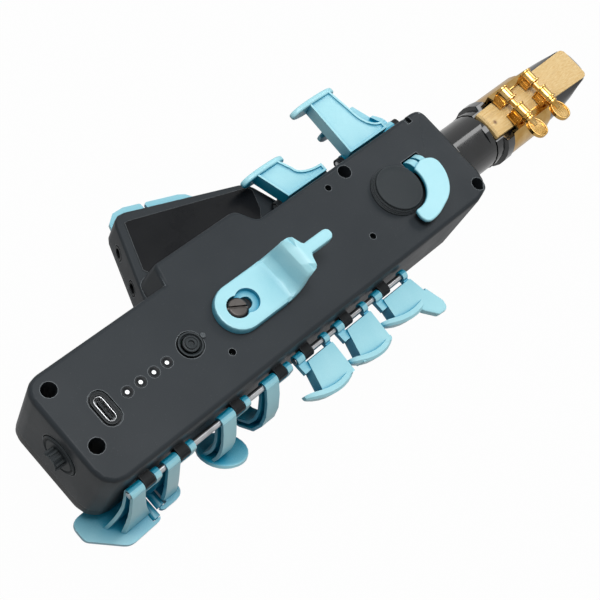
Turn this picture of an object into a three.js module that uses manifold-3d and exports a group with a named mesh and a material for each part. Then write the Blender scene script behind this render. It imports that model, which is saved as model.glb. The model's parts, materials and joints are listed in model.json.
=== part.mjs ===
// A digital wind controller with a mouthpiece, saxophone keys and a straight body, lying on its front.
// All sizes are in millimetres. In the instrument's own frame X runs along the body from the bottom end
// to the mouthpiece, Y points to the player's left, and Z points out of the back: the back is z = 0.
import * as THREE from 'three';
import * as BufferGeometryUtils from 'three/addons/utils/BufferGeometryUtils.js';
import Module from 'manifold-3d';

// Casing
const bodyLength = 180;
const bodyWidth = 40;
const shellDepth = 28;
const coverThickness = 5.4;
const wallThickness = 2.2;
const edgeRadius = 1.6;
const coverEdgeRadius = 1.2;
const coverLipHeight = 1.6;
const coverLipThickness = 1.4;
const bottomRightCorner = 7.4;
const topRightCorner = 9;
const topLeftCorner = 3.6;
const bottomLeftCorner = 6;
const postRadius = 3.5;

// Wing on the left side, with the jacks in its end wall and a raised shoulder beside the body
const wingRootStart = 51.8;
const wingRootEnd = 119.5;
const wingTipStart = 65;
const wingTipEnd = 112;
const wingReachStart = 32.5;
const wingReachEnd = 16.3;
const wingTopDepth = 13.5;
const wingRimDepth = 24.5;
const wingCoverThickness = 2.4;
const wingTipStartRadius = 4.5;
const wingTipEndRadius = 7;
const wingEdgeRadius = 1.1;
const shoulderRootStart = 54.6;
const shoulderStart = 57.4;
const shoulderEnd = 92.5;
const shoulderReach = 7.2;
const shoulderRun = 4.5;
const shoulderRadius = 3.6;
const shoulderDraft = 1.8;

// Fits
const gap = 0.3;
const seat = 0.1;
const turningFit = 0.2;
const overrun = 1;
const leastRadius = 0.2;

// Casing screws, counted from the bottom end and from the centre line
const screwEndInset = 6;
const screwLeftOffset = 14;
const screwRightOffset = -7.2;
const screwUpperInset = 44.5;
const screwUpperOffset = 16.2;
const screwCornerInset = 4.9;
const screwCornerOffset = -15.3;
const screwWellRadius = 2.55;
const screwWellDepth = 18;
const screwHeadRadius = 2.2;
const screwHeadHeight = 1.8;
const screwShankRadius = 1.2;
const screwBite = 3;
const screwSocketRadius = 1;
const screwSocketDepth = 0.9;

// Small access holes in the back
const accessRadius = 1.2;
const accessLowerX = 57.7;
const accessLowerY = -9.5;
const accessUpperInset = 54.1;
const accessUpperLeftY = 14.9;
const accessUpperRightY = -7.4;

// Charging socket
const socketX = 15.2;
const socketLength = 8.94;
const socketHeight = 3.26;
const socketWall = 0.35;
const socketDepth = 7.6;
const socketRecessMargin = 1.7;
const socketRecessDepth = 0.9;
const socketSink = 0.5;
const tongueLength = 6.4;
const tongueHeight = 0.7;
const tongueSink = 1.1;

// Battery lights
const lightFirstX = 23.6;
const lightPitch = 5.2;
const lightCount = 4;
const lightRadius = 0.85;
const lightRecessRadius = 1.9;
const lightRecessDepth = 0.7;
const lightSink = 0.35;
const lightStripHalfWidth = 1.6;
const lightStripHeight = 0.8;

// Function button
const buttonX = 48.75;
const buttonRecessRadius = 4.5;
const buttonRecessDepth = 1;
const bezelRadius = 4.1;
const bezelBore = 3;
const bezelHeight = 1.2;
const buttonRadius = 2.7;
const buttonRise = 0.35;
const buttonStemRadius = 1.2;
const buttonDimpleRadius = 1;
const buttonDimpleDepth = 0.3;
const buttonGrooveRadius = 1.9;
const buttonGrooveWidth = 0.35;
const buttonTravel = 0.5;
const buttonMarkRadius = 0.5;
const buttonMarkHeight = 0.35;
const buttonMarkOffset = 5.1;

// Thumb hook and its screw
const hookScrewX = 68;
const hookEndRadius = 8;
const hookEndOffset = 0.6;
const hookHalfWidth = 8.2;
const hookPlateThickness = 3;
const hookSheet = 2.6;
const hookTopX = 93.4;
const hookHeight = 12.9;
const hookFootRadius = 6;
const hookTopRadius = 3.5;
const hookLeanDegrees = 72;
const hookWallHalfWidth = 7.2;
const hookLipLength = 2.2;
const hookProngLength = 12.6;
const hookProngRadius = 2.1;
const keyholeLargeRadius = 3.9;
const keyholeSmallRadius = 2.15;
const keyholePitch = 4;
const keyholeSinkRadius = 4.2;
const keyholeFloor = 1.2;
const hookScrewHeadRadius = 3.45;
const hookScrewHeadHeight = 1.7;
const hookScrewShankRadius = 1.7;
const hookScrewDepth = 8;
const hookScrewSlot = 0.9;
const hookBossRadius = 4.2;
const hookBossDepth = 10;

// Left thumb rest
const restInset = 34;
const restBaseRadius = 9.6;
const restTopRadius = 8.4;
const restHeight = 3;
const restDish = 0.5;
const restStubRadius = 3;
const restStubLength = 3.6;

// Octave key around the thumb rest
const octaveHingeY = 4.2;
const octaveHingeDrop = 1.1;
const octaveTop = 3.7;
const octaveThickness = 1.7;
const octaveInnerGap = 0.3;
const octaveStationDegrees = [-101.5, -100, -97, -91, -82, -70, -58, -45, -33, -20, -9, -1, 5, 10, 13];
const octaveOuterRadii = [12.4, 13.6, 14.9, 15.8, 16.1, 16.4, 16.9, 18.1, 19.1, 19.8, 20.1, 20, 18.9, 16.7, 14.9];
const octaveTipInnerRadii = [10.6, 10.2];
const octaveRootInnerRadii = [10.6, 11.6];
const octaveEdge = 0.7;
const octavePinRadius = 0.6;
const octaveLugRadius = 2.6;
const octaveLugOffset = 11;
const octaveLugWidth = 3.1;
const octaveLugGap = 0.9;
const octaveFarLugWidth = 2.5;
const octaveLugRoot = 0.6;
const octaveSlotMargin = 1;
const octaveSlotWidth = 6;

// Breath and drain fittings at the ends
const plugDrop = 12.5;
const plugOffset = -0.6;
const plugRadius = 7;
const plugRecessDepth = 1.2;
const plugRise = 0.5;
const plugStemRadius = 2.5;
const plugStemLength = 6;
const plugKnobRadius = 2.9;
const plugKnobLength = 3.2;
const plugRibCount = 10;
const plugRibRadius = 0.45;
const plugGrooveRadius = 5.9;
const plugGrooveWidth = 0.6;
const neckDrop = 14;
const neckRadius = 7.5;
const neckBore = 5;
const neckInside = 9;
const neckInsertion = 10;
const neckCollarRadius = 11;
const neckFlangeRadius = 9.5;
const neckFlangeThickness = 2.5;
const neckFlatLength = 15;
const neckFlatInset = 2.2;
const neckFlatSink = 0.6;
const neckFlatTurnDegrees = 15;
const neckEndWall = 2;
const hoseBarbRadius = 1.3;
const hoseBarbLength = 5;
const hoseBarbBore = 0.7;
const sleeveThickness = 0.7;
const sleeveLength = 9;
const sleeveGrooves = 3;
const sleeveGrooveDepth = 0.3;
const sleeveGrooveWidth = 1;

// Mouthpiece, reed and ligature
const mouthpieceStandoff = 20;
const mouthpieceLength = 60;
const shankRadius = 12.6;
const shankLength = 9.4;
const shankFaceRadius = 11.3;
const shankRingLength = 5.1;
const mouthpieceRadius = 11;
const mouthpieceSocketDepth = 12;
const chamberRadius = 5;
const chamberLength = 30;
const tableHeight = 9;
const beakLength = 22;
const beakDepth = 9.5;
const beakTipHalfWidth = 7.6;
const beakTipThickness = 1.3;
const windowLength = 32;
const windowTipInset = 4;
const windowHalfWidth = 4.2;
const reedHeelInset = 0.4;
const reedThickness = 2.8;
const reedHeelHalfWidth = 5.8;
const reedTipHalfWidth = 7.3;
const reedCutLength = 24.8;
const reedTipThickness = 0.35;
const reedTipInset = 0.7;
const reedTipCorner = 2.6;
const reedHeelBevel = 0.8;
const reedCrownShare = 0.6;
const reedCutShares = [0, 0.12, 0.35, 0.6, 0.8];
const reedTipCornerShares = [0, 0.4, 0.7, 0.92];
const bandInset = 9.5;
const bandLength = 23.5;
const bandThickness = 0.8;
const bandSplit = 3.2;
const bandWindowLength = 9;
const ligaturePostSpan = 4.3;
const ligaturePostWidth = 4.6;
const ligaturePostHeight = 4.6;
const ligaturePostSide = 5;
const ligatureScrewInset = 4.2;
const ligatureScrewPitch = 14.6;
const ligatureScrewRadius = 1.1;
const ligatureScrewHead = 4.2;
const ligaturePaddleLength = 9;
const ligaturePaddleWidth = 8.6;
const ligaturePaddleThickness = 1.5;
const ligaturePaddleTurnDegrees = 8;

// Hinge lines on both sides, with the blocks that carry their rods
const hingeStandoff = 2.4;
const hingeDrop = 11.5;
const palmHingeDrop = 10.8;
const rodRadius = 1.2;
const blockLength = 3.8;
const blockRadius = 1.9;
const railThickness = 0.8;
const railHeight = 5;
const railEnd = 4.6;
const lugWidth = 2.2;
const lugRadius = 1.9;
const lowerBlocks = [14.8, 28.7, 52, 71];
const sideBlocks = [83.4, 102.4, 121.6];
const palmBlockLength = 2.4;
const strapThickness = 1.8;

// Low stack keys, whose arms reach down past the front and end in round dished touches
const stackArmWidth = 5.6;
const stackRootDepth = 3.8;
const stackTipDepth = 4.4;
const stackRib = 1.1;
const stackFlare = [0, 1.4, 1.4];
const stackUpperPath = [[0, 0], [-3.6, -9], [-4.9, -17.5], [-2.8, -27.5]];
const stackLowerPath = [[0, 0], [-4.2, -9], [-5.8, -18], [-3.4, -26], [4, -29.4]];
const touchRadius = 8.7;
const touchThickness = 2.2;
const touchDish = 0.8;
const touchTiltRight = 26;
const touchTiltDown = 20;
const upperTouch = [-1.6, -4.3, -24.6];
const lowerTouch = [-7, 9.6, -29.6];

// Little finger keys on the right side. A flare widens an arm's open, outer and inner edges towards its end,
// and the plates' corners are places beside the key's own hinge block, each with its radius.
const pinkyArmWidth = 5;
const pinkyRootDepth = 3.8;
const pinkyTipDepth = 5.8;
const pinkyLargeFlare = [7, -0.9, 3.7];
const pinkySmallFlare = [3.3, -2.7, 0.3];
const pinkyLargePath = [[0, 0], [-2, -9], [-2.7, -18], [-2.7, -28.2]];
const pinkySmallPath = [[0, 0], [-2, -9], [-2.7, -17], [-2.7, -26.4]];
const pinkyLargeCorners = [
  [-17.4, 0.4, 3.2],
  [-7.3, -9.6, 5],
  [5.9, -9.2, 1.6],
  [5.9, 1.4, 2],
  [-5.8, 7.8, 3],
  [-17.4, 7.8, 3],
];
const pinkySmallCorners = [
  [-7.2, -7.6, 1.6],
  [2.3, -7.6, 3],
  [2.3, 2.9, 3],
  [-7.2, 2.9, 2],
];
const pinkyPlateThickness = 2.8;
const pinkyLargeDrop = 29.9;
const pinkySmallDrop = 28.2;
const rollerRadius = 1.6;
const rollerLength = 8;
const rollerPinRadius = 0.7;
const rollerPinLength = 0.9;
const rollerInset = 0.5;
const rollerEndWall = 1.1;

// Side keys: a channel arm with a curved touch across its end. Spans run from the bottom end to the top
// end beside the key's own hinge block, and the last key has a spatula past one end of its touch.
const sideArmRoots = [[-2.1, 9.6], [-2.1, 9.6], [-2.7, 11.3]];
const sideArmTips = [[-4.6, 9.8], [-4.6, 9.8], [-3.4, 14]];
const sideArmLengths = [14.4, 14.4, 11.8];
const sideCapSpans = [[-10.2, 10.4], [-8.2, 11.1], [-8.7, 13.4]];
const sideArmRise = 1.3;
const sideArmTiltDegrees = 9;
const sideKnuckleWidth = 3.2;
const channelWall = 1.4;
const channelDepth = 5.4;
const capDepth = 7;
const capThickness = 2.6;
const sideCapSag = 3;
const sideCapSlant = 1.2;
const capOvalShare = 0.9;
const capThinShare = 0.5;
const capStationShares = [-1, -0.92, -0.75, -0.5, -0.25, 0, 0.25, 0.5, 0.75, 0.92, 1];
const spatulaCorners = [
  [8, 8.4, 0.3],
  [14.4, 8.4, 0.3],
  [17.3, 15.4, 2],
  [16.9, 19, 2],
  [12.2, 18.6, 1.6],
  [7, 13.2, 3],
];

// Palm keys on the left side: each has a barrel on the rod, an arm that flares over it and a touch
const palmLowWidth = 12.2;
const palmArmTip = 10.4;
const palmHighBarrelInsets = [33.8, 14.1];
const palmMidBarrelInsets = [13.5, 6.6];
const palmLowBarrelInsets = [65.4, 46];
const palmHighRootInset = 26.4;
const palmHighTipInset = 27.3;
const palmHighCapInset = 29.4;
const palmHighWidth = 14.7;
const palmHighCapWidth = 21.4;
const palmHighLength = 23.6;
const palmHighRise = 7;
const palmMidRootInset = 10;
const palmMidTipInset = 17.4;
const palmMidCapInset = 20.8;
const palmMidCapWidth = 19.6;
const palmMidLength = 15;
const palmMidRise = -1.6;
const palmMidWidth = 6.8;
const palmLowRootInset = 59.1;
const palmLowTipInset = 64.3;
const palmLowCapInset = 64.6;
const palmLowCapWidth = 19.6;
const palmLowLength = 13;
const palmLowRise = 6.6;
const palmFlareRadius = 4;
const palmCapSag = 1;
const barrelRadius = 2.1;
const palmNotchInset = 9.4;
const palmNotchLength = 2.4;

// Front stack: four touches on a rod along the front
const frontKeyInsets = [88, 62, 43, 24];
const frontRodY = 11.5;
const frontRodDrop = 4.6;
const frontBarrelLength = 11;
const frontArmWidth = 6;
const frontArmThickness = 2.6;
const frontTouchY = -2.5;
const frontTouchDrop = 11;
const frontPostLength = 3;
const frontPostWidth = 5;

// Left little finger keys under the wing
const tableHingeReach = 7;
const tableHingeDrop = 3.4;
const tablePlateThickness = 2.4;
const tableFirstStart = 69.3;
const tableFirstEnd = 84.8;
const tableSecondEnd = 103;
const tableKeyGap = 1.2;
const tableOverhang = 10.2;
const tableBarrelInset = 3;
const tablePostLength = 2.4;
const tableOuterRadius = 7;
const tableInnerRadius = 0.8;

// Jack sockets in the wing's end wall
const jackBore = 1.8;
const jackNose = 2.6;
const jackBodyWidth = 7;
const jackBodyLength = 11;
const jackDropShare = 0.53;
const jackShares = [0.31, 0.69];

// Inside the casing
const boardTop = 8.6;
const boardThickness = 1.6;
const boardStart = 10.6;
const boardEnd = 62;
const boardHalfWidth = 13.6;
const boardPegRadius = 1.6;
const boardPegInset = 3;
const batteryStart = 18;
const batteryLength = 56;
const batteryHalfWidth = 13;
const batteryHeight = 7;
const switchHalfWidth = 2.2;
const switchHeight = 1.2;
const sensorInset = 31;
const sensorLength = 11;
const sensorHalfWidth = 6;
const sensorHeight = 6;
const sensorShelf = 2;
const hoseWall = 1;

// Facets
const roundSides = 24;
const smallSides = 12;
const tinySides = 8;
const cornerSteps = 3;
const edgeSteps = 2;

// Places that follow from the driving sizes
const halfWidth = bodyWidth / 2;
const frontFace = shellDepth + coverThickness;
const hingeY = halfWidth + hingeStandoff;
const wingFace = wingRimDepth + wingCoverThickness;
const screwPlaces = [
  { x: screwEndInset, y: screwLeftOffset },
  { x: screwEndInset, y: screwRightOffset },
  { x: bodyLength - screwUpperInset, y: screwUpperOffset },
  { x: bodyLength - screwCornerInset, y: screwCornerOffset },
];
const accessUpperX = bodyLength - accessUpperInset;
const restX = bodyLength - restInset;
const sensorStart = bodyLength - sensorInset;
const mouthpieceStart = bodyLength + mouthpieceStandoff;
const mouthpieceEnd = mouthpieceStart + mouthpieceLength;
const beakStart = mouthpieceEnd - beakLength;
const windowStart = mouthpieceEnd - windowLength;
const reedStart = mouthpieceStart + reedHeelInset;
const reedEnd = mouthpieceEnd - reedTipInset;
const bandStart = mouthpieceStart + bandInset;
const frontKeyPlaces = frontKeyInsets.map((inset) => bodyLength - inset);
const palmHighBarrel = palmHighBarrelInsets.map((inset) => bodyLength - inset);
const palmMidBarrel = palmMidBarrelInsets.map((inset) => bodyLength - inset);
const palmLowBarrel = palmLowBarrelInsets.map((inset) => bodyLength - inset);
const octaveLugStart = restX + octaveLugOffset;
const octaveSlotStart = octaveLugStart - octaveSlotMargin;
const octaveSlotLength = octaveLugWidth + octaveLugGap + octaveFarLugWidth + octaveSlotMargin * 2;
const radians = Math.PI / 180;

const wasm = await Module();
wasm.setup();

// Solids: closed geometries that manifold-3d can join and cut

function asSolid(geometry) {
  const bare = geometry.clone();
  bare.deleteAttribute('normal');
  bare.deleteAttribute('uv');
  const merged = BufferGeometryUtils.mergeVertices(bare);
  const corners = merged.index.array;
  const kept = [];
  for (let i = 0; i < corners.length; i += 3) {
    const [a, b, c] = [corners[i], corners[i + 1], corners[i + 2]];
    if (a !== b && b !== c && c !== a) {
      kept.push(a, b, c);
    }
  }
  return new wasm.Manifold(new wasm.Mesh({
    numProp: 3,
    vertProperties: merged.attributes.position.array,
    triVerts: new Uint32Array(kept),
  }));
}

function join(...solids) {
  return solids.reduce((whole, piece) => whole.add(piece));
}

function cut(solid, ...tools) {
  return tools.reduce((whole, tool) => whole.subtract(tool), solid);
}

function asGeometry(solid) {
  const { vertProperties, triVerts } = solid.getMesh();
  const geometry = new THREE.BufferGeometry();
  geometry.setAttribute('position', new THREE.BufferAttribute(vertProperties, 3));
  geometry.setIndex(new THREE.BufferAttribute(triVerts, 1));
  return geometry;
}

function moved(solid, matrix) {
  return asSolid(asGeometry(solid).applyMatrix4(matrix));
}

function asMesh(name, solid, finish) {
  const flat = asGeometry(solid).toNonIndexed();
  flat.computeVertexNormals();
  const mesh = new THREE.Mesh(flat, new THREE.MeshStandardMaterial(finish));
  mesh.name = name;
  return mesh;
}

// A box between two corners
function block(x0, x1, y0, y1, z0, z1) {
  const geometry = new THREE.BoxGeometry(x1 - x0, y1 - y0, z1 - z0);
  geometry.translate((x0 + x1) / 2, (y0 + y1) / 2, (z0 + z1) / 2);
  return asSolid(geometry);
}

// A round bar along Z, X or Y, between two places on that axis
function barZ(radius, x, y, z0, z1, sides = smallSides) {
  const geometry = new THREE.CylinderGeometry(radius, radius, z1 - z0, sides);
  geometry.rotateX(Math.PI / 2);
  geometry.translate(x, y, (z0 + z1) / 2);
  return asSolid(geometry);
}

function barX(radius, x0, x1, y, z, sides = smallSides) {
  const geometry = new THREE.CylinderGeometry(radius, radius, x1 - x0, sides);
  geometry.rotateZ(-Math.PI / 2);
  geometry.translate((x0 + x1) / 2, y, z);
  return asSolid(geometry);
}

function barY(radius, x, y0, y1, z, sides = smallSides) {
  const geometry = new THREE.CylinderGeometry(radius, radius, y1 - y0, sides);
  geometry.translate(x, (y0 + y1) / 2, z);
  return asSolid(geometry);
}

// A profile of [radius, height] points turned round Z, or round X with height along X
function turnedZ(profile, sides = roundSides) {
  const points = profile.map(([radius, height]) => new THREE.Vector2(radius, height));
  const geometry = new THREE.LatheGeometry(points, sides);
  geometry.rotateX(Math.PI / 2);
  return geometry;
}

function turnedX(profile, sides = roundSides) {
  const points = profile.map(([radius, height]) => new THREE.Vector2(radius, height));
  const geometry = new THREE.LatheGeometry(points, sides);
  geometry.rotateZ(-Math.PI / 2);
  return geometry;
}

// A closed skin over loops of equal length, each loop anticlockwise round the way the loops advance.
// Convex end loops need no flattening.
function loft(loops, flatten) {
  const count = loops[0].length;
  const index = [];
  for (let ring = 0; ring + 1 < loops.length; ring += 1) {
    for (let i = 0; i < count; i += 1) {
      const a = ring * count + i;
      const b = ring * count + (i + 1) % count;
      index.push(a, b, b + count, a, b + count, a + count);
    }
  }
  const fan = Array.from({ length: count - 2 }, (_, i) => [0, i + 1, i + 2]);
  const capOf = (loop) => (flatten ? THREE.ShapeUtils.triangulateShape(loop.map(flatten), []) : fan);
  const last = (loops.length - 1) * count;
  for (const [a, b, c] of capOf(loops[0])) {
    index.push(c, b, a);
  }
  for (const [a, b, c] of capOf(loops.at(-1))) {
    index.push(last + a, last + b, last + c);
  }
  const geometry = new THREE.BufferGeometry();
  const positions = loops.flat().flatMap((point) => [point.x, point.y, point.z]);
  geometry.setAttribute('position', new THREE.Float32BufferAttribute(positions, 3));
  geometry.setIndex(index);
  return geometry;
}

const seenAlongX = (point) => new THREE.Vector2(point.y, point.z);
const seenAlongZ = (point) => new THREE.Vector2(point.x, point.y);

// Outlines: anticlockwise corners with a radius each, moved inwards by an inset

const cornersOf = (table) => table.map(([x, y, radius]) => ({ x, y, radius }));

function insetCorners(corners, inset) {
  const count = corners.length;
  const sides = corners.map((corner, i) => {
    const next = corners[(i + 1) % count];
    const length = Math.hypot(next.x - corner.x, next.y - corner.y);
    const along = { x: (next.x - corner.x) / length, y: (next.y - corner.y) / length };
    return { along, start: { x: corner.x - along.y * inset, y: corner.y + along.x * inset } };
  });
  return corners.map((corner, i) => {
    const before = sides[(i + count - 1) % count];
    const after = sides[i];
    const turn = before.along.x * after.along.y - before.along.y * after.along.x;
    const apart = { x: after.start.x - before.start.x, y: after.start.y - before.start.y };
    const reach = (apart.x * after.along.y - apart.y * after.along.x) / turn;
    const radius = Math.max(corner.radius - Math.sign(turn) * inset, leastRadius);
    return {
      x: before.start.x + before.along.x * reach,
      y: before.start.y + before.along.y * reach,
      radius,
    };
  });
}

// Each corner becomes an arc that touches both of its sides
function roundedOutline(corners, steps = cornerSteps) {
  const count = corners.length;
  return corners.flatMap((corner, i) => {
    const before = corners[(i + count - 1) % count];
    const after = corners[(i + 1) % count];
    const inward = new THREE.Vector2(before.x - corner.x, before.y - corner.y).normalize();
    const outward = new THREE.Vector2(after.x - corner.x, after.y - corner.y).normalize();
    const half = Math.acos(THREE.MathUtils.clamp(inward.dot(outward), -1, 1)) / 2;
    const bisector = inward.clone().add(outward).normalize();
    const centre = bisector.clone().multiplyScalar(corner.radius / Math.sin(half));
    const first = inward.clone().multiplyScalar(corner.radius / Math.tan(half)).sub(centre);
    const lastSpoke = outward.clone().multiplyScalar(corner.radius / Math.tan(half)).sub(centre);
    const turn = Math.atan2(first.cross(lastSpoke), first.dot(lastSpoke));
    return Array.from({ length: steps + 1 }, (_, step) => {
      const spoke = first.clone().rotateAround(new THREE.Vector2(), turn * step / steps);
      return { x: corner.x + centre.x + spoke.x, y: corner.y + centre.y + spoke.y };
    });
  });
}

// A slab of one outline, with an inset at each height, from the lowest height up
function slab(corners, levels, steps = cornerSteps) {
  const loops = levels.map(({ z, inset }) => (
    roundedOutline(insetCorners(corners, inset), steps).map((point) => ({ ...point, z }))
  ));
  return asSolid(loft(loops, seenAlongZ));
}

// The levels of a wall that ends in a rounded edge, at the top or at the bottom
function roundedTop(bottom, top, radius, draft = 0) {
  const levels = [{ z: bottom, inset: -draft }];
  for (let step = 0; step <= edgeSteps; step += 1) {
    const angle = Math.PI / 2 * (1 - step / edgeSteps);
    levels.push({ z: top - radius * (1 - Math.cos(angle)), inset: radius * (1 - Math.sin(angle)) });
  }
  return levels;
}

function roundedBottom(bottom, top, radius) {
  const levels = [];
  for (let step = 0; step <= edgeSteps; step += 1) {
    const angle = Math.PI / 2 * step / edgeSteps;
    levels.push({ z: bottom + radius * (1 - Math.cos(angle)), inset: radius * (1 - Math.sin(angle)) });
  }
  levels.push({ z: top, inset: 0 });
  return levels;
}

const straight = (bottom, top, inset = 0) => [{ z: bottom, inset }, { z: top, inset }];

function rectangle(x0, x1, y0, y1, radius) {
  return [
    { x: x0, y: y0, radius },
    { x: x1, y: y0, radius },
    { x: x1, y: y1, radius },
    { x: x0, y: y1, radius },
  ];
}

// A slot with round ends, long across the body
function stadiumAcross(x, y, length, width) {
  const radius = width / 2 - leastRadius / 2;
  return rectangle(x - width / 2, x + width / 2, y - length / 2, y + length / 2, radius);
}

// An outline drawn in Y and Z, drawn out along X
function alongX(outline, x0, x1) {
  const loops = [x0, x1].map((x) => outline.map((point) => ({ x, y: point.x, z: point.y })));
  return asSolid(loft(loops, seenAlongX));
}

// Finishes

const shellFinish = () => ({ color: 0x3d4144, roughness: 0.55, metalness: 0 });
const blackFinish = () => ({ color: 0x17191b, roughness: 0.45, metalness: 0 });
const glossBlackFinish = () => ({ color: 0x0c0d0f, roughness: 0.15, metalness: 0 });
const keyFinish = () => ({ color: 0x84cbd9, roughness: 0.38, metalness: 0 });
const steelFinish = () => ({ color: 0xb9bcc0, roughness: 0.3, metalness: 1 });
const darkSteelFinish = () => ({ color: 0x37383b, roughness: 0.4, metalness: 1 });
const goldFinish = () => ({ color: 0xd8a24a, roughness: 0.2, metalness: 1 });
const reedFinish = () => ({ color: 0xd2b57c, roughness: 0.7, metalness: 0 });
const rubberFinish = () => ({ color: 0x1c1d1f, roughness: 0.8, metalness: 0 });
const lensFinish = () => ({ color: 0xf4f6f6, roughness: 0.3, metalness: 0 });
const boardFinish = () => ({ color: 0x1d5a3a, roughness: 0.6, metalness: 0 });
const batteryFinish = () => ({ color: 0x9aa3a8, roughness: 0.4, metalness: 0.3 });

// Casing outlines

function bodyCorners() {
  return [
    { x: 0, y: -halfWidth, radius: bottomRightCorner },
    { x: bodyLength, y: -halfWidth, radius: topRightCorner },
    { x: bodyLength, y: halfWidth, radius: topLeftCorner },
    { x: 0, y: halfWidth, radius: bottomLeftCorner },
  ];
}

function wingCorners() {
  const root = halfWidth - wallThickness;
  return [
    { x: wingRootStart, y: root, radius: leastRadius },
    { x: wingRootEnd, y: root, radius: leastRadius },
    { x: wingTipEnd, y: halfWidth + wingReachEnd, radius: wingTipEndRadius },
    { x: wingTipStart, y: halfWidth + wingReachStart, radius: wingTipStartRadius },
  ];
}

function shoulderCorners() {
  const root = halfWidth - wallThickness - edgeRadius;
  const top = halfWidth + shoulderReach;
  const foot = shoulderEnd + shoulderRun;
  return [
    { x: shoulderRootStart, y: root, radius: leastRadius },
    { x: foot + shoulderRadius, y: root, radius: leastRadius },
    { x: foot + shoulderRadius, y: halfWidth, radius: leastRadius },
    { x: foot, y: halfWidth, radius: shoulderRadius },
    { x: shoulderEnd, y: top, radius: shoulderRadius },
    { x: shoulderStart, y: top, radius: shoulderRadius / 2 },
  ];
}

function backShell() {
  const body = slab(bodyCorners(), roundedTop(-shellDepth, 0, edgeRadius));
  const wing = slab(wingCorners(), roundedTop(-wingRimDepth, -wingTopDepth, wingEdgeRadius));
  const shoulder = slab(
    shoulderCorners(),
    roundedTop(-wingTopDepth - wallThickness, 0, edgeRadius, shoulderDraft),
  );
  const roof = -wallThickness;
  const bodyHollow = slab(bodyCorners(), straight(-shellDepth - overrun, roof, wallThickness));
  const wingHollow = slab(
    wingCorners(),
    straight(-wingRimDepth - overrun, -wingTopDepth - wallThickness, wallThickness),
  );
  const shoulderHollow = slab(
    rectangle(
      shoulderStart + wallThickness, shoulderEnd - wallThickness,
      halfWidth - wallThickness - overrun, halfWidth + shoulderReach - wallThickness, leastRadius,
    ),
    straight(-wingTopDepth - wallThickness - overrun, roof),
  );
  let shell = cut(join(body, wing, shoulder), bodyHollow, wingHollow, shoulderHollow);

  const posts = screwPlaces.map(({ x, y }) => barZ(postRadius, x, y, -shellDepth, roof / 2));
  const hookBoss = barZ(hookBossRadius, hookScrewX, 0, -hookBossDepth, roof / 2);
  const pegY = boardHalfWidth - boardPegInset;
  const pegs = [boardStart + boardPegInset * 2, boardEnd - boardPegInset].flatMap((x) => (
    [-pegY, pegY].map((y) => barZ(boardPegRadius, x, y, -boardTop + seat, roof / 2, tinySides))
  ));
  const shelf = block(
    sensorStart + sensorShelf / 2, sensorStart + sensorShelf * 3 / 2,
    -sensorHalfWidth, octaveHingeY - octaveSlotWidth / 2 - sensorShelf,
    -neckDrop + sensorHeight / 2 + seat, roof / 2,
  );
  const mark = barZ(
    buttonMarkRadius, buttonX + buttonMarkOffset, 0, roof / 2, buttonMarkHeight, tinySides,
  );
  shell = join(shell, ...posts, hookBoss, ...pegs, shelf, mark);

  const wells = screwPlaces.flatMap(({ x, y }) => [
    barZ(screwWellRadius, x, y, -screwWellDepth, overrun),
    barZ(screwShankRadius + gap, x, y, -shellDepth - overrun, 0, tinySides),
  ]);
  const access = [
    { x: accessLowerX, y: accessLowerY },
    { x: accessUpperX, y: accessUpperLeftY },
    { x: accessUpperX, y: accessUpperRightY },
  ].map(({ x, y }) => barZ(accessRadius, x, y, roof - overrun, overrun));
  const lightWells = lightPlaces().flatMap((x) => [
    barZ(lightRecessRadius, x, 0, -lightRecessDepth, overrun),
    barZ(lightRadius + gap, x, 0, roof - overrun, 0, tinySides),
  ]);
  const socketWell = [
    slab(
      stadiumAcross(socketX, 0, socketLength + socketRecessMargin * 2, socketHeight + socketRecessMargin * 2),
      straight(-socketRecessDepth, overrun),
    ),
    slab(
      stadiumAcross(socketX, 0, socketLength + gap * 2, socketHeight + gap * 2),
      straight(roof - overrun, 0),
    ),
  ];
  const buttonWell = [
    barZ(buttonRecessRadius, buttonX, 0, -buttonRecessDepth, overrun, roundSides),
    barZ(bezelBore + gap, buttonX, 0, roof - overrun, 0),
  ];
  const hookHole = barZ(
    hookScrewShankRadius + turningFit, hookScrewX, 0, -hookScrewDepth - gap, overrun,
  );
  const restHole = barZ(restStubRadius + gap, restX, 0, roof - overrun, overrun);
  const slotEnd = octaveSlotStart + octaveSlotLength;
  const octaveSlot = slab(
    rectangle(
      octaveSlotStart, slotEnd,
      octaveHingeY - octaveSlotWidth / 2, octaveHingeY + octaveSlotWidth / 2, leastRadius,
    ),
    straight(roof - overrun, overrun),
  );
  const octavePinWay = barX(
    octavePinRadius + turningFit, octaveSlotStart - overrun, slotEnd + overrun,
    octaveHingeY, -octaveHingeDrop, tinySides,
  );
  const notchStart = bodyLength - palmNotchInset;
  const notch = block(
    notchStart, notchStart + palmNotchLength,
    halfWidth - wallThickness - edgeRadius / 2, halfWidth + overrun,
    roof, overrun,
  );
  const plugWell = [
    barX(plugRadius + gap, -overrun, plugRecessDepth, plugOffset, -plugDrop, roundSides),
    barX(plugStemRadius + gap, 0, wallThickness + overrun, plugOffset, -plugDrop),
  ];
  const neckHole = barX(
    neckRadius + gap, bodyLength - wallThickness - overrun, bodyLength + overrun,
    0, -neckDrop, roundSides,
  );
  const jackHoles = jackPlaces().map((place) => (
    placedOnWing(barX(jackNose + gap, -overrun, wallThickness + overrun, 0, 0), place)
  ));
  const railPockets = Object.values(rails()).map(railPocket);
  return cut(
    shell, ...railPockets, ...wells, ...access, ...lightWells, ...socketWell, ...buttonWell, hookHole, restHole,
    octaveSlot, octavePinWay, notch, ...plugWell, neckHole, ...jackHoles,
  );
}

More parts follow.
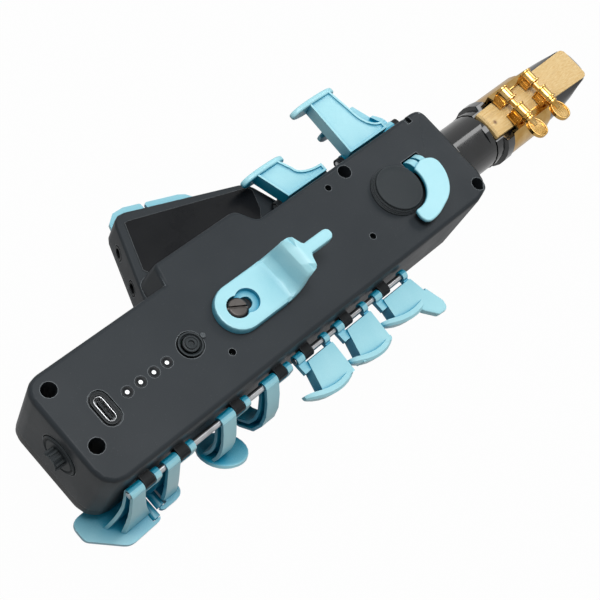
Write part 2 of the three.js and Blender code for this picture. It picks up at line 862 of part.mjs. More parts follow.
function frontCover() {
  const plate = slab(bodyCorners(), roundedBottom(-frontFace, -shellDepth - seat, coverEdgeRadius));
  const lipTop = -shellDepth + coverLipHeight;
  const lipInset = wallThickness + gap;
  const lip = cut(
    slab(bodyCorners(), straight(-shellDepth - coverThickness / 2, lipTop, lipInset)),
    slab(bodyCorners(), straight(-shellDepth - seat, lipTop + overrun, lipInset + coverLipThickness)),
    ...screwPlaces.map(({ x, y }) => barZ(postRadius + gap, x, y, -shellDepth - seat, lipTop + overrun)),
  );
  const pilots = screwPlaces.map(({ x, y }) => (
    barZ(screwShankRadius + turningFit, x, y, -shellDepth - screwBite - gap, 0, tinySides)
  ));
  const posts = frontPostPlaces().map((x) => frontPost(x));
  return cut(join(plate, lip, ...posts), ...pilots);
}

function frontPostPlaces() {
  const offset = (frontBarrelLength + frontPostLength) / 2 + gap;
  const first = frontKeyPlaces[0];
  return [first - offset, first + offset, ...frontKeyPlaces.slice(1).map((x) => x - offset),
    frontKeyPlaces.at(-1) + offset];
}

function frontPost(x) {
  const radius = frontPostWidth / 2;
  const rodZ = -frontFace - frontRodDrop;
  const start = x - frontPostLength / 2;
  const end = x + frontPostLength / 2;
  const stem = block(
    start, end, frontRodY - radius, frontRodY + radius, rodZ, -frontFace + coverEdgeRadius,
  );
  const head = barX(radius, start, end, frontRodY, rodZ);
  const bore = barX(rodRadius + turningFit, start - overrun, end + overrun, frontRodY, rodZ, tinySides);
  return cut(join(stem, head), bore);
}

function wingCover() {
  const root = halfWidth + gap;
  const shift = (root - halfWidth + wallThickness) / (wingReachStart + wallThickness);
  const corners = wingCorners();
  const rootStart = THREE.MathUtils.lerp(wingRootStart, wingTipStart, shift);
  const rootEnd = THREE.MathUtils.lerp(
    wingRootEnd, wingTipEnd, (root - halfWidth + wallThickness) / (wingReachEnd + wallThickness),
  );
  corners[0] = { x: rootStart, y: root, radius: leastRadius };
  corners[1] = { x: rootEnd, y: root, radius: leastRadius };
  const plate = slab(corners, roundedBottom(-wingFace, -wingRimDepth - seat, wingEdgeRadius));
  const posts = tablePostPlaces().map((x) => {
    const start = x - tablePostLength / 2;
    const end = x + tablePostLength / 2;
    const y = halfWidth + tableHingeReach;
    const z = -wingFace - tableHingeDrop;
    const stem = block(start, end, y - barrelRadius, y + barrelRadius, z, -wingFace + wingEdgeRadius);
    const head = barX(barrelRadius, start, end, y, z);
    const bore = barX(rodRadius + turningFit, start - overrun, end + overrun, y, z, tinySides);
    return cut(join(stem, head), bore);
  });
  return join(plate, ...posts);
}

function tablePostPlaces() {
  const offset = tablePostLength / 2 + gap;
  return [
    tableFirstStart + tableBarrelInset - offset,
    tableFirstEnd + tableKeyGap / 2,
    tableSecondEnd - tableBarrelInset + offset,
  ];
}

// A screw stands head up at the bottom of its well
function caseScrew() {
  const seatZ = -screwWellDepth + seat;
  const end = -shellDepth - screwBite;
  const shank = barZ(screwShankRadius, 0, 0, end, seatZ + screwHeadHeight / 2, tinySides);
  const head = barZ(screwHeadRadius, 0, 0, seatZ, seatZ + screwHeadHeight);
  const socket = barZ(
    screwSocketRadius, 0, 0, seatZ + screwHeadHeight - screwSocketDepth,
    seatZ + screwHeadHeight + overrun, 6,
  );
  return cut(join(shank, head), socket);
}

// Charging socket

function socketShell() {
  const top = -socketSink;
  const bottom = top - socketDepth;
  const outline = stadiumAcross(socketX, 0, socketLength, socketHeight);
  return cut(
    slab(outline, straight(bottom, top)),
    slab(outline, straight(bottom + socketWall * 2, top + overrun, socketWall)),
  );
}

function socketTongue() {
  const bottom = -socketSink - socketDepth + socketWall * 2 + seat;
  return slab(
    rectangle(
      socketX - tongueHeight / 2, socketX + tongueHeight / 2,
      -tongueLength / 2, tongueLength / 2, leastRadius,
    ),
    straight(bottom, -tongueSink),
    2,
  );
}

// Battery lights

function lightPlaces() {
  return Array.from({ length: lightCount }, (_, i) => lightFirstX + lightPitch * i);
}

// One clear guide: a strip under the back with a stud for each light, and a leg down to the board
function lightGuide() {
  const places = lightPlaces();
  const stripTop = -wallThickness - gap;
  const start = places[0] - lightStripHalfWidth;
  const end = places.at(-1) + lightStripHalfWidth;
  const strip = block(
    start, end, -lightStripHalfWidth, lightStripHalfWidth, stripTop - lightStripHeight, stripTop,
  );
  const studs = places.map((x) => {
    const top = -lightSink;
    const stud = turnedZ([
      [0, -boardTop + gap],
      [lightRadius, -boardTop + gap],
      [lightRadius, top - lightRadius / 3],
      [lightRadius * 2 / 3, top - lightRadius / 9],
      [0, top],
    ], smallSides);
    stud.translate(x, 0, 0);
    return asSolid(stud);
  });
  return join(strip, ...studs);
}

// Function button: a domed cap with a groove and a dimple, in a fixed ring

function buttonBezel() {
  const foot = -buttonRecessDepth + seat;
  const top = foot + bezelHeight;
  const lip = (bezelRadius - bezelBore) / 3;
  return asSolid(turnedZ([
    [bezelBore, foot],
    [bezelRadius, foot],
    [bezelRadius, top - lip],
    [bezelRadius - lip, top],
    [bezelBore + lip, top],
    [bezelBore, top - lip],
    [bezelBore, foot],
  ]));
}

function functionButton() {
  const top = buttonRise;
  const foot = -boardTop + switchHeight + buttonTravel + seat;
  const skirt = -wallThickness - seat;
  return asSolid(turnedZ([
    [0, foot],
    [buttonStemRadius, foot],
    [buttonStemRadius, skirt],
    [buttonRadius, skirt],
    [buttonRadius, top - buttonGrooveWidth],
    [buttonRadius - buttonGrooveWidth, top],
    [buttonGrooveRadius + buttonGrooveWidth, top],
    [buttonGrooveRadius, top - buttonGrooveWidth],
    [buttonGrooveRadius - buttonGrooveWidth, top],
    [buttonDimpleRadius, top],
    [0, top - buttonDimpleDepth],
  ]));
}

// Thumb hook: a flat plate with a keyhole, which bends up into a wall with a prong on its lip

function hookSection(x, z, tilt, halfWide, thickness) {
  const across = { x: -Math.sin(tilt), z: Math.cos(tilt) };
  const edge = thickness / 3;
  const points = [
    [-halfWide + edge, -thickness / 2], [halfWide - edge, -thickness / 2],
    [halfWide, -thickness / 2 + edge], [halfWide, thickness / 2 - edge],
    [halfWide - edge, thickness / 2], [-halfWide + edge, thickness / 2],
    [-halfWide, thickness / 2 - edge], [-halfWide, -thickness / 2 + edge],
  ];
  return points.map(([y, lift]) => ({ x: x + across.x * lift, y, z: z + across.z * lift }));
}

function thumbHook() {
  const middle = seat + hookPlateThickness / 2;
  const lean = hookLeanDegrees * radians;
  const lift = 1 - Math.cos(lean);
  const lipZ = hookHeight - hookSheet / 2;
  const rise = lipZ - middle - (hookFootRadius + hookTopRadius) * lift;
  const run = (hookFootRadius + hookTopRadius) * Math.sin(lean) + rise / Math.tan(lean);
  const plateEnd = hookTopX - run;
  const endX = hookScrewX + hookEndOffset - hookEndRadius;
  const plate = slab(
    [
      { x: endX, y: -hookHalfWidth, radius: hookEndRadius },
      { x: plateEnd, y: -hookHalfWidth, radius: leastRadius },
      { x: plateEnd, y: hookHalfWidth, radius: leastRadius },
      { x: endX, y: hookHalfWidth, radius: hookEndRadius },
    ],
    roundedTop(seat, seat + hookPlateThickness, hookPlateThickness / 3),
    cornerSteps * 2,
  );
  const sections = [hookSection(plateEnd - hookSheet, middle, 0, hookHalfWidth, hookPlateThickness)];
  const steps = cornerSteps;
  for (let step = 0; step <= steps; step += 1) {
    const share = step / steps;
    sections.push(hookSection(
      plateEnd + Math.sin(lean * share) * hookFootRadius,
      middle + (1 - Math.cos(lean * share)) * hookFootRadius,
      lean * share,
      THREE.MathUtils.lerp(hookHalfWidth, hookWallHalfWidth, share * share / 2),
      THREE.MathUtils.lerp(hookPlateThickness, hookSheet, share),
    ));
  }
  const wallX = hookTopX - Math.sin(lean) * hookTopRadius;
  const wallZ = lipZ - lift * hookTopRadius;
  for (let step = 0; step <= steps; step += 1) {
    const share = step / steps;
    const angle = lean * (1 - share);
    sections.push(hookSection(
      wallX + (Math.sin(lean) - Math.sin(angle)) * hookTopRadius,
      wallZ + (Math.cos(angle) - Math.cos(lean)) * hookTopRadius,
      angle,
      hookWallHalfWidth - share * share * hookLipLength / 3,
      hookSheet,
    ));
  }
  const shoulder = hookWallHalfWidth - hookLipLength / 3;
  [0.45, 0.75, 1].forEach((share) => {
    const narrow = THREE.MathUtils.lerp(shoulder, hookProngRadius, Math.sqrt(share));
    sections.push(hookSection(hookTopX + hookLipLength * share, lipZ, 0, narrow, hookSheet));
  });
  const sheet = asSolid(loft(sections, seenAlongX));
  const prong = slab(
    rectangle(
      hookTopX, hookTopX + hookProngLength, -hookProngRadius, hookProngRadius,
      hookProngRadius - leastRadius / 2,
    ),
    roundedTop(lipZ - hookSheet / 2, lipZ + hookSheet / 2, hookSheet / 3),
  );
  const top = seat + hookPlateThickness;
  const sinkX = hookScrewX + keyholePitch;
  const keyhole = [
    barZ(keyholeLargeRadius, hookScrewX, 0, 0, top + overrun, roundSides),
    barZ(keyholeSmallRadius, sinkX, 0, 0, top + overrun),
    block(hookScrewX, sinkX, -keyholeSmallRadius, keyholeSmallRadius, 0, top + overrun),
    barZ(keyholeSinkRadius, sinkX, 0, seat + keyholeFloor, top + overrun, roundSides),
  ];
  return cut(join(plate, sheet, prong), ...keyhole);
}

function hookScrew() {
  const headFoot = seat + keyholeFloor + seat;
  const top = headFoot + hookScrewHeadHeight;
  const body = asSolid(turnedZ([
    [0, -hookScrewDepth],
    [hookScrewShankRadius, -hookScrewDepth],
    [hookScrewShankRadius, headFoot],
    [hookScrewHeadRadius, headFoot],
    [hookScrewHeadRadius, top - hookScrewHeadHeight / 3],
    [hookScrewHeadRadius - hookScrewHeadHeight / 3, top],
    [0, top],
  ], roundSides));
  const slotTool = new THREE.BoxGeometry(hookScrewHeadRadius * 3, hookScrewSlot, hookScrewSlot * 2);
  slotTool.rotateZ(-30 * radians);
  slotTool.translate(0, 0, top);
  return cut(body, asSolid(slotTool));
}

// Left thumb rest: a low round pad with a dished top, held by a stub through the back

function thumbRest() {
  const top = seat + restHeight;
  return asSolid(turnedZ([
    [0, -restStubLength],
    [restStubRadius, -restStubLength],
    [restStubRadius, seat],
    [restBaseRadius, seat],
    [restBaseRadius, seat + restHeight / 6],
    [restTopRadius + restDish, top - restHeight / 4],
    [restTopRadius - restDish / 2, top],
    [restTopRadius - restDish * 2, top - restDish / 2],
    [restTopRadius / 2, top - restDish],
    [0, top - restDish],
  ]));
}

// Octave key: a crescent round the thumb rest, on lugs that turn on a pin in a slot of the back

function octaveLoop(z, inset) {
  const least = restBaseRadius + octaveInnerGap;
  const count = octaveStationDegrees.length;
  const innerRadii = octaveStationDegrees.map((_, i) => (
    octaveTipInnerRadii[i] ?? octaveRootInnerRadii[i - count + octaveRootInnerRadii.length] ?? least
  ));
  const outerEdge = octaveStationDegrees.map((angle, i) => [octaveOuterRadii[i] - inset, angle]);
  const innerEdge = octaveStationDegrees.map((angle, i) => [Math.max(innerRadii[i], least) + inset, angle]);
  return [...outerEdge, ...innerEdge.reverse()].map(([radius, angle]) => ({
    x: restX + radius * Math.cos(angle * radians) - octavePinCentre(),
    y: radius * Math.sin(angle * radians) - octaveHingeY,
    z: z + octaveHingeDrop,
  }));
}

function octavePinCentre() {
  return octaveSlotStart + octaveSlotLength / 2;
}

function octaveKey() {
  const bottom = octaveTop - octaveThickness;
  const crescent = asSolid(loft([
    octaveLoop(bottom, 0),
    octaveLoop(octaveTop - octaveEdge, 0),
    octaveLoop(octaveTop, octaveEdge),
  ], seenAlongZ));
  const farStart = octaveLugStart + octaveLugWidth + octaveLugGap;
  const lugs = [
    [octaveLugStart, octaveLugStart + octaveLugWidth],
    [farStart, farStart + octaveFarLugWidth],
  ].map(([x0, x1]) => {
    const start = x0 - octavePinCentre();
    const end = x1 - octavePinCentre();
    const profile = [
      { x: octaveLugRoot - octaveHingeY, y: bottom + octaveHingeDrop },
      { x: gap - octaveSlotWidth / 2, y: octaveHingeDrop + gap },
      { x: -octaveLugRadius, y: 0 },
      { x: 0, y: 0 },
      { x: octaveLugRadius * 0.8, y: octaveLugRadius * 0.6 },
      { x: 0, y: octaveLugRadius + octaveEdge },
      { x: octaveLugRoot - octaveHingeY, y: octaveTop + octaveHingeDrop - octaveEdge },
    ];
    return join(barX(octaveLugRadius, start, end, 0, 0), alongX(profile, start, end));
  });
  const reach = octaveSlotLength / 2 + overrun;
  const bore = barX(octavePinRadius + turningFit, -reach, reach, 0, 0, tinySides);
  const restRoom = barZ(
    restBaseRadius + octaveInnerGap, restX - octavePinCentre(), -octaveHingeY,
    -octaveLugRadius - overrun, octaveTop + octaveHingeDrop + overrun, roundSides,
  );
  return cut(join(crescent, ...lugs), bore, restRoom);
}

// Plug in the bottom end wall, with a ribbed grip

function endPlug() {
  const face = -plugRise;
  const body = asSolid(turnedX([
    [0, face],
    [plugGrooveRadius - plugGrooveWidth, face],
    [plugGrooveRadius, face + plugGrooveWidth],
    [plugGrooveRadius + plugGrooveWidth, face],
    [plugRadius - plugGrooveWidth / 2, face],
    [plugRadius, face + plugGrooveWidth / 2],
    [plugRadius, plugRecessDepth - seat],
    [plugStemRadius, plugRecessDepth - seat],
    [plugStemRadius, plugStemLength],
    [0, plugStemLength],
  ]));
  const grip = barX(plugKnobRadius, face - plugKnobLength, 0, 0, 0);
  const ribs = Array.from({ length: plugRibCount }, (_, i) => {
    const angle = Math.PI * 2 * i / plugRibCount;
    return barX(
      plugRibRadius, face - plugKnobLength + plugRibRadius, 0,
      plugKnobRadius * Math.cos(angle), plugKnobRadius * Math.sin(angle), 8,
    );
  });
  return join(body, grip, ...ribs);
}

// Neck tube, with a flange inside the end wall and a barb for the breath hose

function neckTube() {
  const inside = bodyLength - neckInside;
  const outside = mouthpieceStart + neckInsertion;
  const flangeEnd = bodyLength - wallThickness - seat;
  const body = asSolid(turnedX([
    [hoseBarbBore, inside - hoseBarbLength],
    [hoseBarbBore, inside + neckEndWall],
    [neckBore, inside + neckEndWall],
    [neckBore, outside],
    [neckRadius, outside],
    [neckRadius, mouthpieceStart - gap],
    [neckCollarRadius, mouthpieceStart - gap],
    [neckCollarRadius, bodyLength + seat],
    [neckRadius, bodyLength + seat],
    [neckRadius, flangeEnd],
    [neckFlangeRadius, flangeEnd],
    [neckFlangeRadius, flangeEnd - neckFlangeThickness],
    [neckRadius, flangeEnd - neckFlangeThickness],
    [neckRadius, inside],
    [hoseBarbRadius, inside],
    [hoseBarbRadius, inside - hoseBarbLength],
    [hoseBarbBore, inside - hoseBarbLength],
  ].reverse()));
  const flatTool = new THREE.BoxGeometry(neckFlatLength, neckCollarRadius * 2, neckCollarRadius);
  flatTool.translate(
    bodyLength + neckFlatInset + neckFlatLength / 2, 0, neckCollarRadius * 3 / 2 - neckFlatSink,
  );
  flatTool.rotateX(neckFlatTurnDegrees * radians);
  return cut(body, asSolid(flatTool));
}

// Rubber sleeve on the end of the neck tube, with grip grooves

function neckSleeve() {
  const end = mouthpieceStart + neckInsertion;
  const start = end - sleeveLength;
  const inner = neckRadius + seat;
  const outer = inner + sleeveThickness;
  const profile = [[inner, end], [inner, start], [outer, start]];
  const pitch = sleeveLength / (sleeveGrooves + 1);
  for (let i = 1; i <= sleeveGrooves; i += 1) {
    const middle = start + pitch * i;
    profile.push([outer, middle - sleeveGrooveWidth / 2]);
    profile.push([outer - sleeveGrooveDepth, middle]);
    profile.push([outer, middle + sleeveGrooveWidth / 2]);
  }
  profile.push([outer, end], [inner, end]);
  return asSolid(turnedX(profile, roundSides));
}

// Mouthpiece: round at the shank, with a flat table for the reed and a beak that closes to the tip.
// Its own origin is on its axis, at the shank's end.

function mouthpieceSection(x, halfWide, top, bottom) {
  const middle = (top + bottom) / 2;
  const half = (top - bottom) / 2;
  return Array.from({ length: roundSides }, (_, i) => {
    const angle = Math.PI * 2 * i / roundSides;
    return {
      x: x - mouthpieceStart,
      y: halfWide * Math.cos(angle),
      z: middle + half * Math.sin(angle),
    };
  });
}

function mouthpiece() {
  const ringEnd = mouthpieceStart + shankLength;
  const ringStart = ringEnd - shankRingLength;
  const bevel = shankRadius - mouthpieceRadius;
  const sections = [
    mouthpieceSection(mouthpieceStart, shankFaceRadius, shankFaceRadius, -shankFaceRadius),
    mouthpieceSection(ringStart, shankFaceRadius, shankFaceRadius, -shankFaceRadius),
    mouthpieceSection(ringStart + bevel / 3, shankRadius, shankRadius, -shankRadius),
    mouthpieceSection(ringEnd - bevel / 3, shankRadius, shankRadius, -shankRadius),
    mouthpieceSection(ringEnd, mouthpieceRadius, mouthpieceRadius, -mouthpieceRadius),
    mouthpieceSection(beakStart, mouthpieceRadius, mouthpieceRadius, -mouthpieceRadius),
  ];
  const beakSteps = 6;
  for (let step = 1; step <= beakSteps; step += 1) {
    const share = step / beakSteps;
    const x = beakStart + beakLength * share;
    const halfWide = THREE.MathUtils.lerp(mouthpieceRadius, beakTipHalfWidth, share ** 1.2);
    const bottom = THREE.MathUtils.lerp(-mouthpieceRadius, tableHeight - beakTipThickness, share ** 1.1);
    const top = THREE.MathUtils.lerp(mouthpieceRadius, tableHeight + beakTipThickness, share);
    sections.push(mouthpieceSection(x, halfWide, top, bottom));
  }
  const body = asSolid(loft(sections, seenAlongX));
  const table = block(
    -overrun, mouthpieceEnd - mouthpieceStart + overrun,
    -shankRadius - overrun, shankRadius + overrun, tableHeight, shankRadius + overrun,
  );
  const sleeveOuter = neckRadius + seat + sleeveThickness;
  const socketHole = barX(sleeveOuter + seat, -overrun, mouthpieceSocketDepth, 0, 0, roundSides);
  const chamber = barX(
    chamberRadius, mouthpieceSocketDepth - overrun, mouthpieceSocketDepth + chamberLength, 0, 0,
  );
  const window = slab(
    rectangle(
      windowStart - mouthpieceStart, mouthpieceEnd - windowTipInset - mouthpieceStart,
      -windowHalfWidth, windowHalfWidth, leastRadius * 5,
    ),
    straight(0, tableHeight + overrun),
  );
  return cut(body, table, socketHole, chamber, trimmedByBeak(window));
}

// The window is as deep as the beak's slope leaves a wall below it
function trimmedByBeak(window) {
  const slopeStart = windowStart - mouthpieceStart;
  const slopeEnd = mouthpieceEnd - mouthpieceStart;
  const floorEnd = tableHeight - beakTipThickness / 2;
  const profile = [
    { x: slopeStart - overrun, z: 0 },
    { x: slopeEnd + overrun, z: floorEnd },
    { x: slopeEnd + overrun, z: -mouthpieceRadius },
    { x: slopeStart - overrun, z: -mouthpieceRadius },
  ];
  const loops = [-mouthpieceRadius, mouthpieceRadius].map((y) => (
    profile.map(({ x, z }) => ({ x, y, z }))
  ));
  const wedge = asSolid(loft(loops, (point) => new THREE.Vector2(point.z, point.x)));
  return window.subtract(wedge);
}

// Reed: thick at the heel, cut down in a slope to a thin round tip

function reed() {
  const foot = tableHeight + seat;
  const cutStart = mouthpieceEnd - reedTipInset - reedCutLength;
  const roundStart = reedEnd - reedTipCorner;
  const stations = [
    reedStart,
    reedStart + reedHeelBevel,
    ...reedCutShares.map((share) => THREE.MathUtils.lerp(cutStart, roundStart, share)),
    ...reedTipCornerShares.map((share) => THREE.MathUtils.lerp(roundStart, reedEnd, share)),
  ];
  const loops = stations.map((x) => {
    const flat = THREE.MathUtils.mapLinear(x, reedStart, reedEnd, reedHeelHalfWidth, reedTipHalfWidth);
    const intoCorner = Math.max(x - roundStart, 0);
    const corner = reedTipCorner - Math.sqrt(reedTipCorner * reedTipCorner - intoCorner * intoCorner);
    const halfWide = flat - corner;
    const slope = Math.max((x - cutStart) / reedCutLength, 0);
    const heel = x === reedStart ? reedThickness - reedHeelBevel : reedThickness;
    const top = foot + THREE.MathUtils.lerp(heel, reedTipThickness, slope);
    const crown = (top - foot) / 3;
    return [
      [-halfWide, foot],
      [halfWide, foot],
      [halfWide, top - crown],
      [halfWide * reedCrownShare, top - crown / 4],
      [0, top],
      [-halfWide * reedCrownShare, top - crown / 4],
      [-halfWide, top - crown],
    ].map(([y, z]) => ({ x: x - mouthpieceStart, y, z }));
  });
  return asSolid(loft(loops, seenAlongX));
}

// Ligature: a split band round the mouthpiece and reed, with two pairs of posts for its screws

function bandOutline(grow) {
  const radius = mouthpieceRadius + gap + grow;
  const top = tableHeight + seat + reedThickness + gap + grow;
  const reedSide = reedTipHalfWidth + gap + grow;
  const cornerAngle = Math.asin(tableHeight / radius);
  const steps = roundSides * 3 / 4;
  const points = Array.from({ length: steps + 1 }, (_, step) => {
    const angle = THREE.MathUtils.lerp(Math.PI - cornerAngle, Math.PI * 2 + cornerAngle, step / steps);
    return { x: radius * Math.cos(angle), y: radius * Math.sin(angle) };
  });
  const crownShares = [[1, 0.78], [0.72, 0.97], [0.35, 1], [-0.35, 1], [-0.72, 0.97], [-1, 0.78]];
  for (const [sideShare, heightShare] of crownShares) {
    points.push({ x: reedSide * sideShare, y: THREE.MathUtils.lerp(tableHeight, top, heightShare) });
  }
  return points;
}

function ligatureScrewPlaces() {
  return [ligatureScrewInset, ligatureScrewInset + ligatureScrewPitch].map((x) => bandStart + x);
}

function ligatureScrewHeight() {
  return tableHeight + reedThickness + gap + bandThickness + ligaturePostHeight / 2;
}

function ligatureBand() {
  const start = bandStart - mouthpieceStart;
  const end = start + bandLength;
  const z = ligatureScrewHeight();
  const foot = tableHeight + reedThickness + gap + bandThickness / 2;
  let band = alongX(bandOutline(bandThickness), start, end);
  const posts = ligatureScrewPlaces().flatMap((place) => [-1, 1].map((side) => {
    const x = place - mouthpieceStart;
    const middle = side * ligaturePostSpan;
    const root = block(
      x - ligaturePostWidth / 2, x + ligaturePostWidth / 2,
      middle - ligaturePostSide / 2, middle + ligaturePostSide / 2, foot, z,
    );
    const barrel = barY(
      ligaturePostWidth / 2, x, middle - ligaturePostSide / 2, middle + ligaturePostSide / 2, z,
    );
    return join(root, barrel);
  }));
  band = join(band, ...posts);
  const inside = alongX(bandOutline(0), start - overrun, end + overrun);
  const split = block(
    start - overrun, end + overrun, -bandSplit / 2, bandSplit / 2,
    tableHeight, z + ligaturePostHeight,
  );
  const middle = (start + end) / 2;
  const opening = block(
    middle - bandWindowLength / 2, middle + bandWindowLength / 2,
    -reedHeelHalfWidth + gap, reedHeelHalfWidth - gap, tableHeight, z + ligaturePostHeight,
  );
  const bores = ligatureScrewPlaces().map((place) => barY(
    ligatureScrewRadius + turningFit, place - mouthpieceStart, -mouthpieceRadius, mouthpieceRadius,
    z, tinySides,
  ));
  return cut(band, inside, split, opening, ...bores);
}

// Ligature screw, along Y through both posts, with a flat paddle for the fingers
function ligatureScrew() {
  const side = ligaturePostSpan + ligaturePostSide / 2;
  const shank = barY(ligatureScrewRadius, 0, -side - gap - overrun, side + gap, 0, tinySides);
  const headEnd = -side - gap - ligatureScrewHead / 3;
  const collar = barY(ligaturePostWidth / 2, 0, headEnd, -side - gap, 0);
  const paddle = new THREE.CylinderGeometry(1, 1, ligaturePaddleThickness, smallSides);
  paddle.scale(ligaturePaddleWidth / 2, 1, ligaturePaddleLength / 2);
  paddle.rotateX(Math.PI / 2);
  paddle.rotateY(ligaturePaddleTurnDegrees * radians);
  paddle.translate(0, headEnd - ligaturePaddleLength / 2 + gap * 2, 0);
  return join(shank, collar, asSolid(paddle));
}

// Hinge rails: a thin strip let into the side of the shell, with a block for each bearing.
// The side is 1 on the left and -1 on the right.

function sideBlock(x0, x1, side, near, far, z0, z1) {
  return block(x0, x1, Math.min(side * near, side * far), Math.max(side * near, side * far), z0, z1);
}

function railPocket({ places, side, z }) {
  return sideBlock(
    places[0] - railEnd - seat, places.at(-1) + railEnd + seat,
    side, halfWidth - railThickness - seat, halfWidth + overrun,
    z - railHeight / 2 - seat, z + railHeight / 2 + seat,
  );
}

function hingeRail({ places, length, side, z }) {
  const start = places[0] - railEnd;
  const end = places.at(-1) + railEnd;
  const strip = sideBlock(
    start, end, side, halfWidth - railThickness, halfWidth, z - railHeight / 2, z + railHeight / 2,
  );
  const bearings = places.map((x) => join(
    sideBlock(
      x - length / 2, x + length / 2, side, halfWidth - railThickness / 2, hingeY,
      z - blockRadius, z + blockRadius,
    ),
    barX(blockRadius, x - length / 2, x + length / 2, side * hingeY, z),
  ));
  const bore = barX(rodRadius + seat, start - overrun, end + overrun, side * hingeY, z, tinySides);
  return cut(join(strip, ...bearings), bore);
}

function palmBlocks() {
  const offset = palmBlockLength / 2 + gap;
  return [
    palmLowBarrel[0] - offset,
    palmLowBarrel[1] + offset,
    palmHighBarrel[0] - offset,
    palmMidBarrel[1] + offset,
  ];
}

function rails() {
  return {
    lower: { places: lowerBlocks, length: blockLength, side: -1, z: -hingeDrop },
    side: { places: sideBlocks, length: blockLength, side: -1, z: -hingeDrop },
    palm: { places: palmBlocks(), length: palmBlockLength, side: 1, z: -palmHingeDrop },
  };
}

// A bar of rectangular section along a path in Y and Z. The outer side of a downward path faces -Y.
function sweptBar(path, span, depth) {
  const curve = new THREE.SplineCurve(path.map(([y, z]) => new THREE.Vector2(y, z)));
  const steps = cornerSteps * 2;
  const loops = Array.from({ length: steps + 1 }, (_, step) => {
    const share = step / steps;
    const point = curve.getPoint(share);
    const along = curve.getTangent(share);
    const half = depth(share) / 2;
    const { outer, inner, near } = span(share);
    const outward = { y: along.y * half, z: -along.x * half };
    return [
      { x: inner, y: point.x - outward.y, z: point.y - outward.z },
      { x: near, y: point.x - outward.y, z: point.y - outward.z },
      { x: near, y: point.x + outward.y, z: point.y + outward.z },
      { x: outer, y: point.x + outward.y, z: point.y + outward.z },
    ];
  });
  return asSolid(loft(loops));
}

// A lower key's two lugs beside its block, the strap that joins them below it, and its arm:
// a channel whose open side faces the bottom end. The key's origin is on the hinge line.
function hangingArm({ path, width, rootDepth, tipDepth, flare }) {
  const inner = blockLength / 2 + gap;
  const outer = inner + width;
  const far = inner + lugWidth;
  const depth = (share) => THREE.MathUtils.lerp(rootDepth, tipDepth, share * share);
  const [nearFlare, outerFlare, innerFlare] = flare;
  const span = (share) => ({
    outer: -outer - outerFlare * share * share,
    inner: -outer - innerFlare * share * share,
    near: -inner + nearFlare * share * share,
  });
  const pocketSpan = (share) => ({
    outer: span(share).outer - overrun,
    inner: span(share).inner - overrun,
    near: span(share).near - stackRib * 2,
  });
  const arm = sweptBar(path, span, depth);
  const pocket = sweptBar(path, pocketSpan, (share) => depth(share) - stackRib * 2);
  const strapTop = -blockRadius - gap * 2;
  const strapBottom = strapTop - strapThickness;
  const strap = join(
    block(-inner - stackRib, far, -lugRadius, lugRadius / 2, strapBottom, strapTop),
    block(inner, far, -lugRadius, lugRadius / 2, strapBottom, 0),
    block(-inner - stackRib * 2, -inner, -lugRadius, lugRadius / 2, strapBottom, 0),
  );
  const lugs = join(barX(lugRadius, -outer, -inner, 0, 0), barX(lugRadius, inner, far, 0, 0));
  const bore = barX(rodRadius + turningFit, -outer - overrun, far + overrun, 0, 0, tinySides);
  return { solid: join(cut(arm, pocket), strap, lugs), bore };
}

function stackKey(path, [x, y, z], tilted) {
  const { solid, bore } = hangingArm({
    path, width: stackArmWidth, rootDepth: stackRootDepth, tipDepth: stackTipDepth,
    flare: stackFlare,
  });
  const touch = turnedZ([
    [0, -touchThickness + touchDish],
    [touchRadius - touchDish * 2, -touchThickness + touchDish / 2],
    [touchRadius - touchDish, -touchThickness],
    [touchRadius, -touchThickness + touchDish],
    [touchRadius, -touchDish / 2],
    [touchRadius - touchDish, 0],
    [0, 0],
  ]);
  const reach = touchRadius * 2;
  const below = new THREE.BoxGeometry(reach, reach, reach);
  below.translate(0, 0, -touchThickness / 2 - reach / 2);
  [touch, below].forEach((geometry) => {
    geometry.rotateX(-touchTiltRight * radians * tilted);
    geometry.rotateY(touchTiltDown * radians * tilted);
    geometry.translate(x, y, z);
  });
  return cut(join(cut(solid, asSolid(below)), asSolid(touch)), bore);
}

// Little finger key: a flat plate with a notch in one edge for its roller
function pinkyKey({ path, flare, corners, drop, rollerX, openSide }) {
  const { solid, bore } = hangingArm({
    path, width: pinkyArmWidth, rootDepth: pinkyRootDepth, tipDepth: pinkyTipDepth, flare,
  });
  const plate = slab(
    cornersOf(corners), roundedBottom(-drop, -drop + pinkyPlateThickness, pinkyPlateThickness / 3),
  );
  const half = rollerLength / 2 + gap;
  const y = rollerY(corners);
  const reach = rollerRadius + gap;
  const notch = block(
    openSide > 0 ? rollerX - reach : rollerX - reach - overrun * 2,
    openSide > 0 ? rollerX + reach + overrun * 2 : rollerX + reach,
    y - half, y + half, -drop - overrun, -drop + pinkyPlateThickness + overrun,
  );
  const pinHole = barY(
    rollerPinRadius + turningFit, rollerX, y - half - rollerEndWall - overrun,
    y + half + rollerPinLength + gap, -drop + pinkyPlateThickness / 2, tinySides,
  );
  return cut(join(solid, plate), notch, pinHole, bore);
}

function rollerY(corners) {
  const lowest = Math.min(...corners.map(([, y]) => y));
  return lowest + rollerEndWall + gap + rollerLength / 2 + gap;
}

function roller() {
  const half = rollerLength / 2;
  return join(
    barY(rollerRadius, 0, -half, half, 0),
    barY(rollerPinRadius, 0, -half - rollerPinLength, half + rollerPinLength, 0, tinySides),
  );
}

